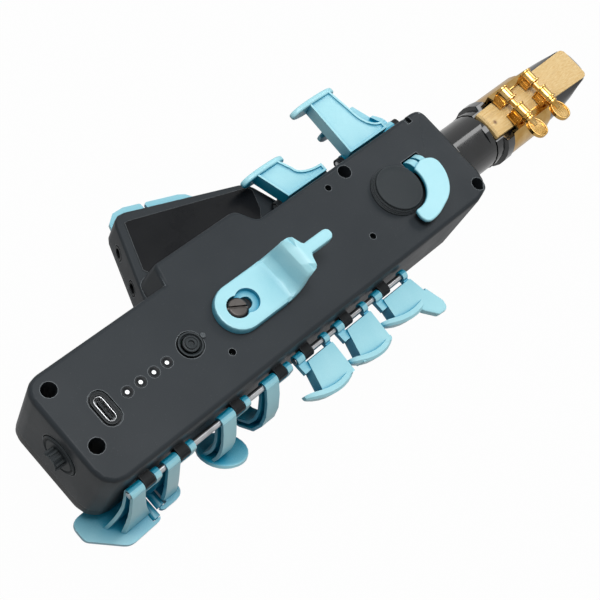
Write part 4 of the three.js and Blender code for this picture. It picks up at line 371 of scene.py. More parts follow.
# %% Metals
def worked_metal(name, low, high, rough, stretch, depth):
    finish = Finish(name)
    lines = finish.noise(0.18 * MM, 3, stretch=stretch)
    stain = finish.span(finish.noise(5 * MM, 4), 0.35, 0.7)
    finish.set(
        Base_Color=finish.mix(stain, paint(low), paint(high)),
        Metallic=1.0,
        Roughness=rough + lines * 0.10 + stain * 0.05,
        Normal=finish.bump(lines, depth),
    )
    return finish.material


ebonite = polished_ebonite()
brass = worked_metal("lacquered_brass", "c79a4e", "ddb878", 0.11, (0.1, 1, 1), 0.0003 * MM)
bright_steel = worked_metal("bright_steel", "a9abad", "c4c6c8", 0.24, (0.1, 1, 1), 0.002 * MM)
black_steel = worked_metal("black_steel", "4a4745", "5a5755", 0.34, (1, 1, 1), 0.004 * MM)
print("metals:", brass.name, bright_steel.name, black_steel.name)

# %% [markdown]
# ## Cane, and the small electric parts
#
# A reed is cut from cane: pale straw with fibres a tenth of a millimetre wide along its
# length, darker now and then. The light wells are milky plastic, and inside the casing
# there are a green board and a cell wrapped in film.


# %% Reed cane
CANE_EYE = at(203.6, -0.8, -2.7)


def reed_cane():
    finish = Finish("reed_cane")
    fibres = finish.noise(0.22 * MM, 3, stretch=(0.04, 1, 1))
    knots = finish.span(finish.noise(2.6 * MM, 2, stretch=(0.3, 1, 1)), 0.62, 0.75)
    straw = finish.mix(finish.span(fibres, 0.35, 0.65), paint("cfa968"), paint("e0c48c"))
    eye = finish.node(
        "VectorMath", {"operation": "DISTANCE"}, {0: finish.place, 1: CANE_EYE}, out="Value"
    )
    eyed = finish.mix(finish.span(eye, 1.3 * MM, 0.6 * MM) * 0.85, straw, paint("5c2f12"))
    finish.set(
        Base_Color=finish.mix(knots * 0.2, eyed, paint("8a6230")),
        Roughness=0.42 + fibres * 0.12,
        Normal=finish.bump(fibres, 0.006 * MM),
    )
    return finish.material


# %% Milky plastic, board and film
def milky_plastic():
    finish = Finish("milky_plastic")
    haze = finish.noise(1.2 * MM, 2)
    finish.set(
        Base_Color=finish.mix(haze, paint("c9ced0"), paint("eef1f1")),
        Roughness=0.25 + haze * 0.1,
        Emission_Color=finish.mix(haze, paint("d9dddd"), paint("ffffff")),
        Emission_Strength=1.0,
    )
    return finish.material


def circuit_board():
    finish = Finish("circuit_board")
    tracks = finish.node(
        "TexBrick",
        {"offset": 0.5, "squash": 1.0},
        {"Vector": finish.place, "Scale": 1 / (9 * MM), "Mortar Size": 0.04},
        out="Fac",
    )
    finish.set(
        Base_Color=finish.mix(tracks, paint("0f4a2b"), paint("1d6b42")),
        Roughness=0.32 + tracks * 0.1,
        Normal=finish.bump(tracks, 0.03 * MM),
    )
    return finish.material


def cell_film():
    finish = Finish("cell_film")
    creases = finish.noise(3 * MM, 4, distortion=1.5)
    finish.set(
        Base_Color=finish.mix(creases, paint("7d858c"), paint("a3abb2")),
        Metallic=0.6,
        Roughness=0.3 + creases * 0.15,
        Normal=finish.bump(creases, 0.08 * MM),
    )
    return finish.material


cane = reed_cane()
milky = milky_plastic()
board_green = circuit_board()
film = cell_film()

# %% [markdown]
# ## A finish for every slot
#
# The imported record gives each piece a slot, such as a plastic or a metal. One table says
# which finish fills it, so no CAD piece is left with its plain import colour.

# %% Dress every CAD piece
FINISH_OF_SLOT = {
    "shell_plastic": casing_grey,
    "cover_plastic": cover_black,
    "key_plastic": key_turquoise,
    "gloss_black": ebonite,
    "soft_black": rest_black,
    "steel": bright_steel,
    "dark_steel": black_steel,
    "gold_metal": brass,
    "cane": cane,
    "clear_plastic": milky,
    "board": board_green,
    "cell_wrap": film,
}
FINISH_OF_PIECE = {"wing_cover": wing_grey}
slot_of = {part["node"]: part["material_slot"] for part in frame["record"]["subparts"]}
for name, node in frame["nodes"].items():
    node.data.materials.clear()
    node.data.materials.append(FINISH_OF_SLOT[slot_of[name]])
print("finished CAD pieces:", len(slot_of))

# %% [markdown]
# ## Softened copies
#
# A CAD solid has corners of no radius at all, and no moulded or stamped thing has those. A
# copy of the solid has its loose triangles merged, its flat faces joined, and a narrow
# bevel run along every edge sharper than a given angle. Where the bevel catches the light
# the piece stops looking drawn. A few copies first have coarse corners of their outline
# rounded. The copy then stands for the CAD piece.


# %% Tools for the bench
MERGE_DISTANCE = 0.002 * MM
FLAT_DEGREES = 0.5
LOOKS_UP = 0.75


def lay_down():
    """Leaves nothing selected, because an operator works on all that is."""
    if bpy.context.object is not None and bpy.context.object.mode != "OBJECT":
        bpy.ops.object.mode_set(mode="OBJECT")
    bpy.ops.object.select_all(action="DESELECT")


def take_up(piece):
    """Selects one piece and makes it the active one."""
    lay_down()
    piece.hide_set(False)
    piece.select_set(True)
    bpy.context.view_layer.objects.active = piece


def finished(piece, material, body, slot, *nodes):
    """Gives a piece its finish and its body, and lets it stand for its CAD pieces."""
    piece.data.materials.clear()
    piece.data.materials.append(material)
    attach(piece, body)
    if nodes:
        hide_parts(*nodes)
    print(piece.name, "has", len(piece.data.polygons), "faces")


def level_normals(piece, smooth=32):
    """Smooth shading in which the large flat faces stay flat."""
    take_up(piece)
    bpy.ops.object.shade_smooth_by_angle(angle=math.radians(smooth))
    weigh = piece.modifiers.new("weigh", "WEIGHTED_NORMAL")
    weigh.mode = "FACE_AREA"
    weigh.weight = 50
    weigh.keep_sharp = True
    bpy.ops.object.modifier_apply(modifier=weigh.name)


def edged(piece, width, sharp=28, segments=2, smooth=32):
    """Rounds every edge that is sharper than an angle."""
    take_up(piece)
    bevel = piece.modifiers.new("edge", "BEVEL")
    bevel.width = width
    bevel.segments = segments
    bevel.limit_method = "ANGLE"
    bevel.angle_limit = math.radians(sharp)
    bpy.ops.object.modifier_apply(modifier=bevel.name)
    level_normals(piece, smooth)


def paint_wall_shade(piece):
    """Paints shade on the faces that don't look up, by giving them a blacker copy of the rubber.
    """
    piece.data.materials.append(shaded_wall_black)
    for face in piece.data.polygons:
        if face.normal.z < LOOKS_UP:
            face.material_index = 1


# %% Copy, merge and bevel a CAD solid
def softened(node_name, width, sharp=28, smooth=32, shaped=None):
    """A copy of a CAD solid with merged faces and rounded edges, which stands for it."""
    node = frame["nodes"][node_name]
    lay_down()
    piece = bpy.data.objects.new(node_name + "_soft", node.data.copy())
    bpy.context.scene.collection.objects.link(piece)
    take_up(piece)
    bpy.ops.object.mode_set(mode="EDIT")
    bpy.ops.mesh.select_all(action="SELECT")
    bpy.ops.mesh.remove_doubles(threshold=MERGE_DISTANCE)
    bpy.ops.mesh.customdata_custom_splitnormals_clear()
    bpy.ops.mesh.dissolve_limited(angle_limit=math.radians(FLAT_DEGREES))
    bpy.ops.object.mode_set(mode="OBJECT")
    if shaped is not None:
        shaped(piece)
    edged(piece, width, sharp, smooth=smooth)
    finished(
        piece,
        FINISH_OF_PIECE.get(node_name, FINISH_OF_SLOT[slot_of[node_name]]),
        body_of(node)[0],
        slot_of[node_name],
        node_name,
    )


# %% Round the coarse corners of an outline
def choose_edges(piece, wanted):
    """Selects, in edit mode, the edges that a test of their places and faces wants."""
    bpy.ops.object.mode_set(mode="EDIT")
    bpy.ops.mesh.select_mode(type="EDGE")
    bpy.ops.mesh.select_all(action="DESELECT")
    bpy.ops.object.mode_set(mode="OBJECT")
    sides = {}
    for face in piece.data.polygons:
        for key in face.edge_keys:
            sides.setdefault(key, []).append((face.center.copy(), face.normal.copy()))
    for edge in piece.data.edges:
        first, second = (piece.data.vertices[i].co for i in edge.vertices)
        edge.select = wanted(first, second, sides.get(edge.key, []))
    bpy.ops.object.mode_set(mode="EDIT")


def round_chosen(piece, wanted, **how):
    """Rounds the edges that a test wants."""
    choose_edges(piece, wanted)
    bpy.ops.mesh.bevel(affect="EDGES", **how)
    bpy.ops.object.mode_set(mode="OBJECT")


BLUNT_DEGREES, SHARP_DEGREES = 8, 62
CORNER_SHARE = {"offset_type": "PERCENT", "offset_pct": 32}


def outward_bend(faces):
    """The degrees by which two faces turn from each other outwards at their edge, or 0."""
    if len(faces) != 2:
        return 0
    (centre, normal), (other_centre, other_normal) = faces
    if (other_centre - centre).dot(normal) >= 0:
        return 0
    return math.degrees(normal.angle(other_normal, 0))


def blunt_upright(first, second, faces):
    """Whether an edge stands up between two faces that meet in a blunt outward corner."""
    rise = second - first
    if abs(rise.z) < 0.3 * rise.length or rise.length < 0.8 * MM:
        return False
    return BLUNT_DEGREES < outward_bend(faces) < SHARP_DEGREES


def plate_corner(first, second, faces):
    """Whether an edge is a corner of a key's thin plate, as long as the plate is thick."""
    rise = second - first
    upright = abs(rise.x) + abs(rise.y) < 0.1 * MM
    return upright and 1.6 * MM < abs(rise.z) < 2.3 * MM and outward_bend(faces) > BLUNT_DEGREES


def round_plate(piece):
    """Rounds the corners of a key's thin plate."""
    round_chosen(piece, plate_corner, segments=4, **CORNER_SHARE)


def round_uprights(piece):
    """Rounds the blunt corners of an outline by a share of the straight parts beside them."""
    round_chosen(piece, blunt_upright, segments=3, **CORNER_SHARE)


def outer(point):
    """Whether a point lies at the outside of the casing's four corners."""
    along = point.x - at(0, 0, 0).x
    across = abs(point.y - at(0, 0, 0).y)
    from_end = min(along, CASING_LENGTH - along)
    at_side = 18.1 * MM < across < 20.1 * MM
    return from_end < 6.5 * MM and (at_side or from_end < 1.9 * MM)


def casing_corner_edge(first, second, faces):
    """Whether an edge is one of the casing's blunt outer corners."""
    return outer(first) and outer(second) and blunt_upright(first, second, faces)


def round_casing(piece):
    """Rounds only the casing's four outer corners."""
    round_chosen(piece, casing_corner_edge, offset=0.9 * MM, segments=3)


def round_beak_tip(piece):
    """Draws the corners of the beak's tip back to a curve, like the reed's own tip."""
    tip_along, start_along = at(259.95, 0, 0).x, at(250, 0, 0).x
    middle, half_tip, set_back = at(0, 0, 0).y, 7.6 * MM, 3.4 * MM
    choose_edges(piece, lambda a, b, _: min(a.x, b.x) > tip_along and abs(a.y - b.y) > half_tip)
    bpy.ops.mesh.subdivide(number_cuts=15)
    bpy.ops.object.mode_set(mode="OBJECT")
    for point in piece.data.vertices:
        if point.co.x > start_along:
            share = (point.co.x - start_along) / (tip_along - start_along)
            point.co.x -= set_back * share * (abs(point.co.y - middle) / half_tip) ** 3.5


# %% Soften every piece that isn't hidden or modelled anew
HIDDEN_INSIDE = ("main_board", "battery", "breath_sensor", "breath_hose", "octave_pin")
MODELLED = (
    "thumb_rest", "octave_key", "button_bezel", "function_button", "palm_key_low", "palm_key_high",
    "ligature_screw_1", "ligature_screw_2",
)
SHAPED = {
    "back_shell": round_casing,
    "front_cover": round_casing,
    "thumb_hook": round_uprights,
    "pinky_key_large": round_plate,
    "pinky_key_small": round_plate,
    "mouthpiece": round_beak_tip,
}
CASING_PIECES = ("back_shell", "front_cover", "wing_cover")
CASING_DEGREES = {"sharp": 50, "smooth": 50}
EDGE, FINE_EDGE = 0.3 * MM, 0.2 * MM

for node_name in sorted(slot_of):
    if node_name not in HIDDEN_INSIDE + MODELLED:
        softened(
            node_name,
            FINE_EDGE if node_name == "mouthpiece" else EDGE,
            shaped=SHAPED.get(node_name),
            **(CASING_DEGREES if node_name in CASING_PIECES else {}),
        )

# %% [markdown]
# ## Two ways to start a piece
#
# Most pieces below start in one of two ways. Round ones are turned: half of their outline is
# drawn by pulling one point along, and spun once round an axis, as on a lathe. Flat ones are
# sketched: the whole outline is drawn by pulling a point along, closed to a face, and pushed
# to its thickness. Both give clean faces that a bevel can follow, which a solid cut out
# of others does not.


# %% Draw a line, turn it, or push it
def drawn(points):
    """A line in edit mode, made by pulling one point from place to place."""
    lay_down()
    bpy.ops.mesh.primitive_plane_add(size=MM, location=points[0])
    bpy.ops.object.transform_apply(location=True, rotation=False, scale=False)
    bpy.ops.object.mode_set(mode="EDIT")
    bpy.ops.mesh.select_mode(type="VERT")
    bpy.ops.mesh.select_all(action="SELECT")
    bpy.ops.mesh.merge(type="CENTER")
    for before, after in zip(points, points[1:]):
        bpy.ops.mesh.extrude_vertices_move(TRANSFORM_OT_translate={"value": after - before})
    bpy.ops.mesh.select_all(action="SELECT")
    return bpy.context.object


def turned(name, centre, axis, side, profile, steps=72):
    """Spins a profile of (radius, height) in millimetres round an axis through a centre."""
    piece = drawn([centre + side * radius * MM + axis * height * MM for radius, height in profile])
    bpy.ops.mesh.spin(steps=steps, angle=math.tau, center=centre, axis=axis)
    bpy.ops.mesh.select_all(action="SELECT")
    bpy.ops.mesh.remove_doubles(threshold=MERGE_DISTANCE)
    bpy.ops.mesh.normals_make_consistent(inside=False)
    bpy.ops.object.mode_set(mode="OBJECT")
    piece.name = name
    return piece


def sketched(name, outline, push):
    """Closes an outline of points to a face and pushes it to a solid."""
    piece = drawn(outline)
    bpy.ops.mesh.edge_face_add()
    bpy.ops.mesh.extrude_region_move(TRANSFORM_OT_translate={"value": push})
    bpy.ops.mesh.select_all(action="SELECT")
    bpy.ops.mesh.normals_make_consistent(inside=False)
    bpy.ops.object.mode_set(mode="OBJECT")
    piece.name = name
    return piece


def joined(first, *others):
    """Several shapes as one piece."""
    take_up(first)
    for other in others:
        other.select_set(True)
    bpy.ops.object.join()
    return first


ALONG = Vector((1, 0, 0))
ACROSS = Vector((0, 1, 0))
UP = Vector((0, 0, 1))
print("bench ready")

# %% [markdown]
# ## The thumb rest
#
# The left thumb rests on a hard rubber button. Its wall carries three turned grooves,
# its top is very slightly hollow, and its rim gets a thin light line, a painted highlight. It is
# lathe work, so it is turned here too. Its walls, like those of the button and its bezel further
# down, get painted shade: faces that don't look up get a blacker copy of the rubber.


# %% Turn the thumb rest
REST_ALONG = 146
rest = turned(
    "thumb_rest_turned",
    at(REST_ALONG, 0, 0),
    UP,
    ALONG,
    [
        (0, -3.6), (3, -3.6), (3, 0.05), (9.45, 0.05), (9.6, 0.2), (9.55, 0.6), (9.25, 0.7),
        (9.25, 0.85), (9.4, 0.95), (9.3, 1.25), (8.95, 1.35), (8.95, 1.5), (9.15, 1.6),
        (9.0, 1.95), (8.65, 2.05), (8.65, 2.2), (8.8, 2.3), (8.65, 2.8), (8.4, 3.0),
        (8.05, 3.0), (7.6, 2.85), (6.4, 2.72), (3, 2.65), (0, 2.63),
    ],
    steps=96,
)
level_normals(rest, 38)
finished(rest, rest_black, "casing", "soft_black", "thumb_rest")
# Painted shade: its walls get the blacker copy of the rubber.
paint_wall_shade(rest)

# %% [markdown]
# ## The octave lever
#
# A crescent of turquoise plastic hugs the thumb rest, so that the thumb only has to roll
# to reach it. Its outline is measured at fifteen angles round the rest. A curve through
# those stations gives a smooth rim, and the sketch is pushed up and rounded. Two lugs
# under its root hold the hinge pin.


# %% A smooth curve through a few values
def smooth_through(stations, values, parts=5):
    """Station and value pairs on a curve through the given ones."""
    pairs = []
    last = len(values) - 1
    for i in range(last):
        before = values[max(i - 1, 0)]
        after = values[min(i + 2, last)]
        for j in range(parts):
            t = j / parts
            here, there = values[i], values[i + 1]
            rise_here, rise_there = (there - before) / 2, (after - here) / 2
            value = (
                (2 * t**3 - 3 * t**2 + 1) * here
                + (t**3 - 2 * t**2 + t) * rise_here
                + (3 * t**2 - 2 * t**3) * there
                + (t**3 - t**2) * rise_there
            )
            pairs.append((stations[i] + (stations[i + 1] - stations[i]) * t, value))
    pairs.append((stations[last], values[last]))
    return pairs


# %% Sketch the crescent and its lugs
LEVER_ANGLES = [-101.5, -100, -97, -91, -82, -70, -58, -45, -33, -20, -9, -1, 5, 10, 13]
LEVER_REACH = [
    12.4, 13.6, 14.9, 15.8, 16.1, 16.4, 16.9, 18.1, 19.1, 19.8, 20.1, 20, 18.9, 16.7, 14.9,
]
LEVER_INNER = 9.9
LEVER_LOW, LEVER_TOP = 2.0, 3.7


def round_rest(degrees, radius, up):
    angle = math.radians(degrees)
    return at(REST_ALONG + radius * math.cos(angle), radius * math.sin(angle), up)


rim = [round_rest(d, r, LEVER_LOW) for d, r in smooth_through(LEVER_ANGLES, LEVER_REACH)]
hollow = [round_rest(11 - i * 4, LEVER_INNER + 0.02, LEVER_LOW) for i in range(28)]
root = [round_rest(13, 11.6, LEVER_LOW)]
tip = [round_rest(-100, 10.2, LEVER_LOW), round_rest(-101.5, 10.6, LEVER_LOW)]
lever = sketched("octave_lever", rim + root + hollow + tip, UP * (LEVER_TOP - LEVER_LOW) * MM)
edged(lever, 0.55 * MM, sharp=50, segments=4)

PIN_ACROSS, PIN_UP, LUG_RADIUS = 4.2, -1.1, 2.6
lug_outline = [(-3.6, 3.1), (-2.75, 1.4)]
lug_outline += [
    (LUG_RADIUS * math.cos(math.radians(a)), LUG_RADIUS * math.sin(math.radians(a)))
    for a in range(180, 397, 12)
]
lug_outline += [(1.1, 2.6), (0, 3.3), (-3.6, 4.1)]
lugs = []
for start, width in ((157, 3.1), (161, 2.5)):
    lug = sketched(
        "lug",
        [at(start, PIN_ACROSS + across, PIN_UP + up) for across, up in lug_outline],
        ALONG * width * MM,
    )
    edged(lug, 0.35 * MM, segments=2)
    lugs.append(lug)
lever = joined(lever, *lugs)
finished(lever, key_turquoise, "octave_key", "key_plastic", "octave_key")

# %% [markdown]
# ## The function button, the light rings and the charging port's lip
#
# The button is a small dome with a ring groove and a dimple, in a bezel of its own. Each
# light sits in a shallow well with a raised black ring. These are turned in a minute, and
# they are what makes the back read as an instrument panel.

# %% Turn the button and its bezel
BUTTON_ALONG = 48.75
bezel = turned(
    "button_bezel_turned",
    at(BUTTON_ALONG, 0, 0),
    UP,
    ALONG,
    [
        (3.05, -0.85), (4.1, -0.85), (4.1, 0.45), (3.95, 0.65), (3.7, 0.7), (3.5, 0.6),
        (3.35, 0.25), (3.2, 0.15), (3.05, 0.05), (3.05, -0.85),
    ],
)
level_normals(bezel, 40)
finished(bezel, rest_black, "casing", slot_of["button_bezel"], "button_bezel")
# Painted shade: its walls get the blacker copy of the rubber.
paint_wall_shade(bezel)
button = turned(
    "function_button_turned",
    at(BUTTON_ALONG, 0, 0),
    UP,
    ALONG,
    [
        (0, -6.8), (1.2, -6.8), (1.2, -0.9), (2.65, -0.9), (2.7, 0.75), (2.5, 1.0), (2.2, 1.05),
        (2.05, 0.7), (1.85, 0.7), (1.75, 1.15), (1.5, 1.3), (1.15, 1.3), (0.95, 1.15),
        (0.8, 0.7), (0, 0.65),
    ],
)
level_normals(button, 40)
finished(button, rest_black, "function_button", slot_of["function_button"], "function_button")
# Painted shade: its walls get the blacker copy of the rubber.
paint_wall_shade(button)
pip = turned(
    "button_pip",
    at(BUTTON_ALONG + 5.1, 0, 0),
    UP,
    ALONG,
    [(0, -0.2), (0.95, -0.2), (0.95, 0.3), (0.8, 0.5), (0.45, 0.5), (0.3, 0.36), (0, 0.36)],
    steps=24,
)
level_normals(pip, 40)
finished(pip, casing_grey, "casing", "shell_plastic")

# %% Turn four light rings
for i in range(4):
    ring = turned(
        f"light_ring_{i + 1}",
        at(23.6 + 5.2 * i, 0, 0),
        UP,
        ALONG,
        [
            (0.66, -0.3), (1.85, -0.65), (1.85, -0.1), (1.7, 0.1), (1.45, 0.15), (1.15, 0.0),
            (0.66, -0.2), (0.66, -0.3),
        ],
        steps=32,
    )
    level_normals(ring, 40)
    finished(ring, cover_black, "casing", "cover_plastic")


# %% Sketch the port's lip
def capsule(along, across, half_length, radius, up, parts=10):
    """An outline with two straight sides across the casing and round ends."""
    outline = []
    for end, first in ((1, 0), (-1, 180)):
        for i in range(parts + 1):
            angle = math.radians(first + 180 * i / parts)
            outline.append(
                at(
                    along + radius * math.cos(angle),
                    across + end * (half_length - radius) + radius * math.sin(angle),
                    up,
                )
            )
    return outline


def faces_towards(piece, *directions):
    """Selects the faces of a piece in edit mode that look in any of the directions."""
    bpy.ops.object.mode_set(mode="OBJECT")
    for face in piece.data.polygons:
        face.select = any(face.normal.dot(direction) > 0.9 for direction in directions)
    bpy.ops.object.mode_set(mode="EDIT")


lip = sketched("port_lip", capsule(15.2, 0, 5.5, 2.65, -0.55), UP * 0.6 * MM)
take_up(lip)
bpy.ops.object.mode_set(mode="EDIT")
bpy.ops.mesh.select_all(action="DESELECT")
bpy.ops.mesh.select_mode(type="FACE")
faces_towards(lip, UP, -UP)
bpy.ops.mesh.inset(thickness=0.95 * MM)
bpy.ops.mesh.bridge_edge_loops()
bpy.ops.mesh.select_all(action="SELECT")
bpy.ops.mesh.normals_make_consistent(inside=False)
bpy.ops.object.mode_set(mode="OBJECT")
edged(lip, 0.12 * MM)
finished(lip, cover_black, "casing", "cover_plastic")

# %% [markdown]
# ## The palm keys
#
# A palm key is a moulded tray: a flat web with a low rim, hollow below to keep the wall
# even, with an oval cap at its far end and a barrel on its rod. The rim sweeps out in a curve
# where the web widens over the barrel. The web is sketched with that curve in its
# outline, its top is inset and sunk, its underside is inset and hollowed, and cap and
# barrel are joined on.


# %% One palm key, in millimetres
HINGE_ACROSS, HINGE_UP = 22.4, -10.8
TUBE_BORE, TUBE_RADIUS = 1.4, 2.1
WEB_DEPTH, FLARE_START = 5.4, 2.2
RIM_WIDTH, TRAY_DEPTH = 0.9, 0.7
WALL_WIDTH, HOLLOW_DEPTH = 1.3, 3.2
CAP_DEPTH, CAP_DROP, CAP_HALF_HEIGHT = 2.2, 3.0, 3.6
WEB_IN_CAP = 0.4


def palm_key(node_name, barrel, root, tip, cap, reach, rise):
    """Spans along the casing of its barrel, root, tip and cap; its reach and its rise."""
    top = HINGE_UP + rise
    flare = []
    bend_reach = reach / 2
    bend_x = (root[1] + tip[1]) / 2
    for i in range(9):
        share = i / 8
        across = FLARE_START + (bend_reach - FLARE_START) * (1 - math.cos(share * math.pi / 2))
        along = barrel[1] + (bend_x - barrel[1]) * math.sin(share * math.pi / 2)
        flare.append((along, across))
    web_end = reach - WEB_IN_CAP
    outline = [(root[0], -1.0), (barrel[1], -1.0)] + flare + [(tip[1], web_end), (tip[0], web_end)]
    web = sketched(
        node_name + "_moulded",
        [at(x, HINGE_ACROSS + y, top - WEB_DEPTH) for x, y in outline],
        UP * WEB_DEPTH * MM,
    )
    take_up(web)
    bpy.ops.object.mode_set(mode="EDIT")
    bpy.ops.mesh.select_mode(type="FACE")
    faces_towards(web, UP)
    bpy.ops.mesh.inset(thickness=RIM_WIDTH * MM)
    bpy.ops.mesh.extrude_region_move(TRANSFORM_OT_translate={"value": UP * -TRAY_DEPTH * MM})
    faces_towards(web, -UP)
    bpy.ops.mesh.inset(thickness=WALL_WIDTH * MM)
    bpy.ops.mesh.extrude_region_move(TRANSFORM_OT_translate={"value": UP * HOLLOW_DEPTH * MM})
    bpy.ops.object.mode_set(mode="OBJECT")
    edged(web, 0.22 * MM)
    middle = (cap[0] + cap[1]) / 2
    half = (cap[1] - cap[0]) / 2
    oval = []
    for i in range(48):
        angle = math.tau * i / 48
        swell = abs(math.cos(angle)) ** 0.8 * (1 if math.cos(angle) > 0 else -1)
        oval.append(
            at(
                middle + half * swell,
                HINGE_ACROSS + reach - CAP_DEPTH,
                top - CAP_DROP + CAP_HALF_HEIGHT * math.sin(angle),
            )
        )
    touch = sketched("touch", oval, ACROSS * CAP_DEPTH * MM)
    edged(touch, 0.7 * MM, sharp=50, segments=3)
    length = barrel[1] - barrel[0]
    tube = turned(
        "tube",
        at(barrel[0], HINGE_ACROSS, HINGE_UP),
        ALONG,
        UP,
        [
            (TUBE_BORE, 0), (TUBE_RADIUS, 0), (TUBE_RADIUS, length), (TUBE_BORE, length),
            (TUBE_BORE, 0),
        ],
        steps=32,
    )
    level_normals(tube)
    finished(joined(web, touch, tube), key_turquoise, node_name, "key_plastic", node_name)


# %% Mould the high and the low palm key
palm_key(
    "palm_key_high", barrel=(146.2, 165.9), root=(146.25, 160.95), tip=(147.5, 157.9),
    cap=(139.9, 161.3), reach=23.6, rise=7.0,
)
palm_key(
    "palm_key_low", barrel=(114.6, 134.0), root=(114.8, 127.0), tip=(110.5, 120.9),
    cap=(105.6, 125.2), reach=13.0, rise=6.6,
)

# %% [markdown]
# ## The ligature's screws
#
# Two brass screws squeeze the band on the reed. Each runs through two fluted barrels and
# ends in a spoon-shaped paddle for the fingers. Barrels and screws are turned, because
# brass of this kind comes off a lathe. The paddle is an oval sketch whose faces are inset and
# sunk, which leaves the raised rim that catches the light.

# %% Turn the screws, sketch the paddles
SCREW_UP = 1.2
TOWARDS_PADDLE = Vector((0, -1, 0))


def ligature_screw(name, along):
    shaft = turned(
        name + "_turned",
        at(along, 7.0, SCREW_UP),
        TOWARDS_PADDLE,
        UP,
        [
            (0, 0), (0.8, 0), (1.1, 0.3), (1.1, 13.9), (2.3, 13.9), (2.3, 14.5), (2.0, 14.7),
            (2.3, 14.9), (2.3, 15.5), (1.8, 16.0), (1.5, 17.2), (1.2, 18.6), (0, 18.6),
        ],
        steps=32,
    )
    level_normals(shaft, 30)
    lean = math.radians(8)
    wide = ALONG * math.cos(lean) - UP * math.sin(lean)
    thick = ALONG * math.sin(lean) + UP * math.cos(lean)
    oval = []
    for i in range(40):
        angle = math.tau * i / 40
        oval.append(
            at(along, -12.4, SCREW_UP)
            + wide * 4.1 * math.cos(angle) * (1 - 0.12 * math.sin(angle)) * MM
            + ACROSS * 4.45 * math.sin(angle) * MM
            - thick * 0.75 * MM
        )
    paddle = sketched("paddle", oval, thick * 1.5 * MM)
    take_up(paddle)
    bpy.ops.object.mode_set(mode="EDIT")
    bpy.ops.mesh.select_mode(type="FACE")
    for way in (thick, -thick):
        faces_towards(paddle, way)
        bpy.ops.mesh.inset(thickness=0.7 * MM)
        bpy.ops.mesh.extrude_region_move(TRANSFORM_OT_translate={"value": way * -0.35 * MM})
    bpy.ops.object.mode_set(mode="OBJECT")
    edged(paddle, 0.16 * MM)
    finished(joined(shaft, paddle), brass, name, slot_of[name], name)


for name, along in (("ligature_screw_1", 213.7), ("ligature_screw_2", 228.3)):
    ligature_screw(name, along)
    for side in (1, -1):
        barrel = turned(
            f"{name}_barrel_{'far' if side > 0 else 'near'}",
            at(along, 4.3 * side, SCREW_UP),
            ACROSS,
            UP,
            [
                (2.2, -2.7), (2.95, -2.7), (3.0, -2.45), (2.95, -2.2), (2.5, -1.9), (2.5, 1.9),
                (2.95, 2.2), (3.0, 2.45), (2.95, 2.7), (2.2, 2.7), (2.2, -2.7),
            ],
            steps=40,
        )
        level_normals(barrel, 30)
        finished(barrel, brass, "mouthpiece", "gold_metal")

# %% [markdown]
# ## The bare plate on the wing
#
# The wing's back carries a thin plate with bevelled edges, set into a shallow place. It is
# left blank here. It is sketched to the wing's outline, rounded, and finished
# darker and smoother than the casing; its rim gets a painted highlight, a line of lighter colour.

# %% Sketch the blank plate
WING_UP = -13.5
plate_corners = [
    (66.5, 47.7), (68.2, 47.6), (109.2, 35.1), (110.9, 34.2), (111.7, 32.6), (109.0, 25.8),
    (106.5, 22.7), (99.4, 22.5), (97.4, 23.1), (95.9, 24.8), (94.3, 27.3), (92.0, 28.7),
    (63.2, 28.7), (61.0, 29.3), (60.2, 31.2),
]
PLATE_CLEAR, PLATE_THICK = 0.02, 0.22
plate = sketched(
    "blank_plate",
    [at(x, y, WING_UP + PLATE_CLEAR) for x, y in plate_corners],
    UP * PLATE_THICK * MM,
)
edged(plate, 0.1 * MM)
# Its rim is painted towards 8d9498 as a painted highlight.
plate_black = grained_plastic("plate_black", "0d0f12", "111316", 0.30, 0.004 * MM, "8d9498")
finished(plate, plate_black, "casing", "cover_plastic")

# %% [markdown]
# ## The studio
#
# The photograph was taken on white with broad soft lamps: the top faces are evenly lit and
# the ends fall off into shadow. The floor is white paper. To the camera, and in
# reflections, part of its light is an even white, so that the paper reads as plain white,
# while the rest is ordinary paper that still carries the shadow of the instrument.


# %% Paper floor
MIRROR_SHARE = 0.45
PAPER_GLOW = 0.98


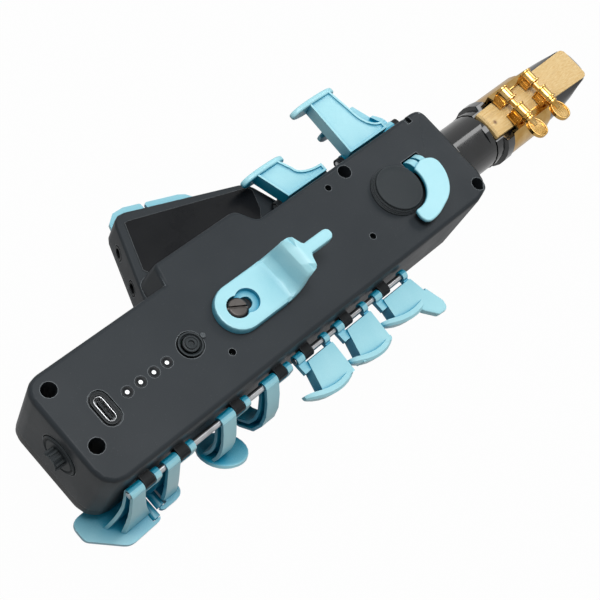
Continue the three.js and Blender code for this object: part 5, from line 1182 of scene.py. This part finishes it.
def paper(name, glow):
    finish = Finish(name)
    fibre = finish.noise(0.8 * MM, 3)
    finish.set(
        Base_Color=finish.mix(fibre, paint("9a9a9a"), paint("a2a2a2")),
        Roughness=0.85,
        Specular_IOR_Level=0.1,
    )
    ray = finish.node("LightPath", out="Is Camera Ray")
    mirror = finish.node("LightPath", out="Is Glossy Ray")
    through = finish.node("LightPath", out="Is Transmission Ray")
    white = finish.node("Emission", {}, {"Color": (1, 1, 1, 1), "Strength": 1.0})
    seen = finish.node(
        "MixShader",
        {},
        {
            0: ray * glow + mirror * MIRROR_SHARE + through * glow,
            1: Wire(finish, finish.shader.outputs[0]),
            2: white,
        },
    )
    finish.join(finish.tree.nodes["Material Output"].inputs["Surface"], seen)
    return finish.material


FLOOR_SIZE = 6
lay_down()
bpy.ops.mesh.primitive_plane_add(size=FLOOR_SIZE, location=(0, 0, 0))
floor = bpy.context.object
floor.name = "floor"
floor.data.materials.append(paper("paper", PAPER_GLOW))

# %% World and lamps
world = bpy.data.worlds.new("studio")
bpy.context.scene.world = world
world.use_nodes = True
studio = Surround(world)
seen_white = (
    studio.node("LightPath", out="Is Camera Ray")
    + studio.node("LightPath", out="Is Glossy Ray") * MIRROR_SHARE
    + studio.node("LightPath", out="Is Transmission Ray")
)
WORLD_LIGHT = 0.27
studio.join(studio.shader.inputs["Strength"], studio.span(seen_white, 0, 1, WORLD_LIGHT, 1.0))
studio.shader.inputs["Color"].default_value = (1, 1, 1, 1)


LAMPS_FACE = Vector((0, 0, 0.03))


def lamp(name, place, size, watts):
    """A square softbox that faces the middle of the instrument."""
    data = bpy.data.lights.new(name, "AREA")
    data.shape = "SQUARE"
    data.size = size
    data.energy = watts
    made = bpy.data.objects.new(name, data)
    bpy.context.scene.collection.objects.link(made)
    made.location = place
    made.rotation_mode = "QUATERNION"
    made.rotation_quaternion = (LAMPS_FACE - Vector(place)).to_track_quat("-Z", "Y")


lamp("softbox_over", (-0.08, 0.1, 1.05), 0.5, 7.4)
lamp("softbox_side", (0.3, -0.8, 0.5), 0.6, 0.5)
lamp("softbox_far", (0.1, 0.9, 0.6), 0.6, 1.4)
lamp("softbox_end", (0.95, 0.15, 0.9), 0.5, 3.0)
bpy.context.scene.view_settings.view_transform = "Standard"
print("lamps and floor are up")
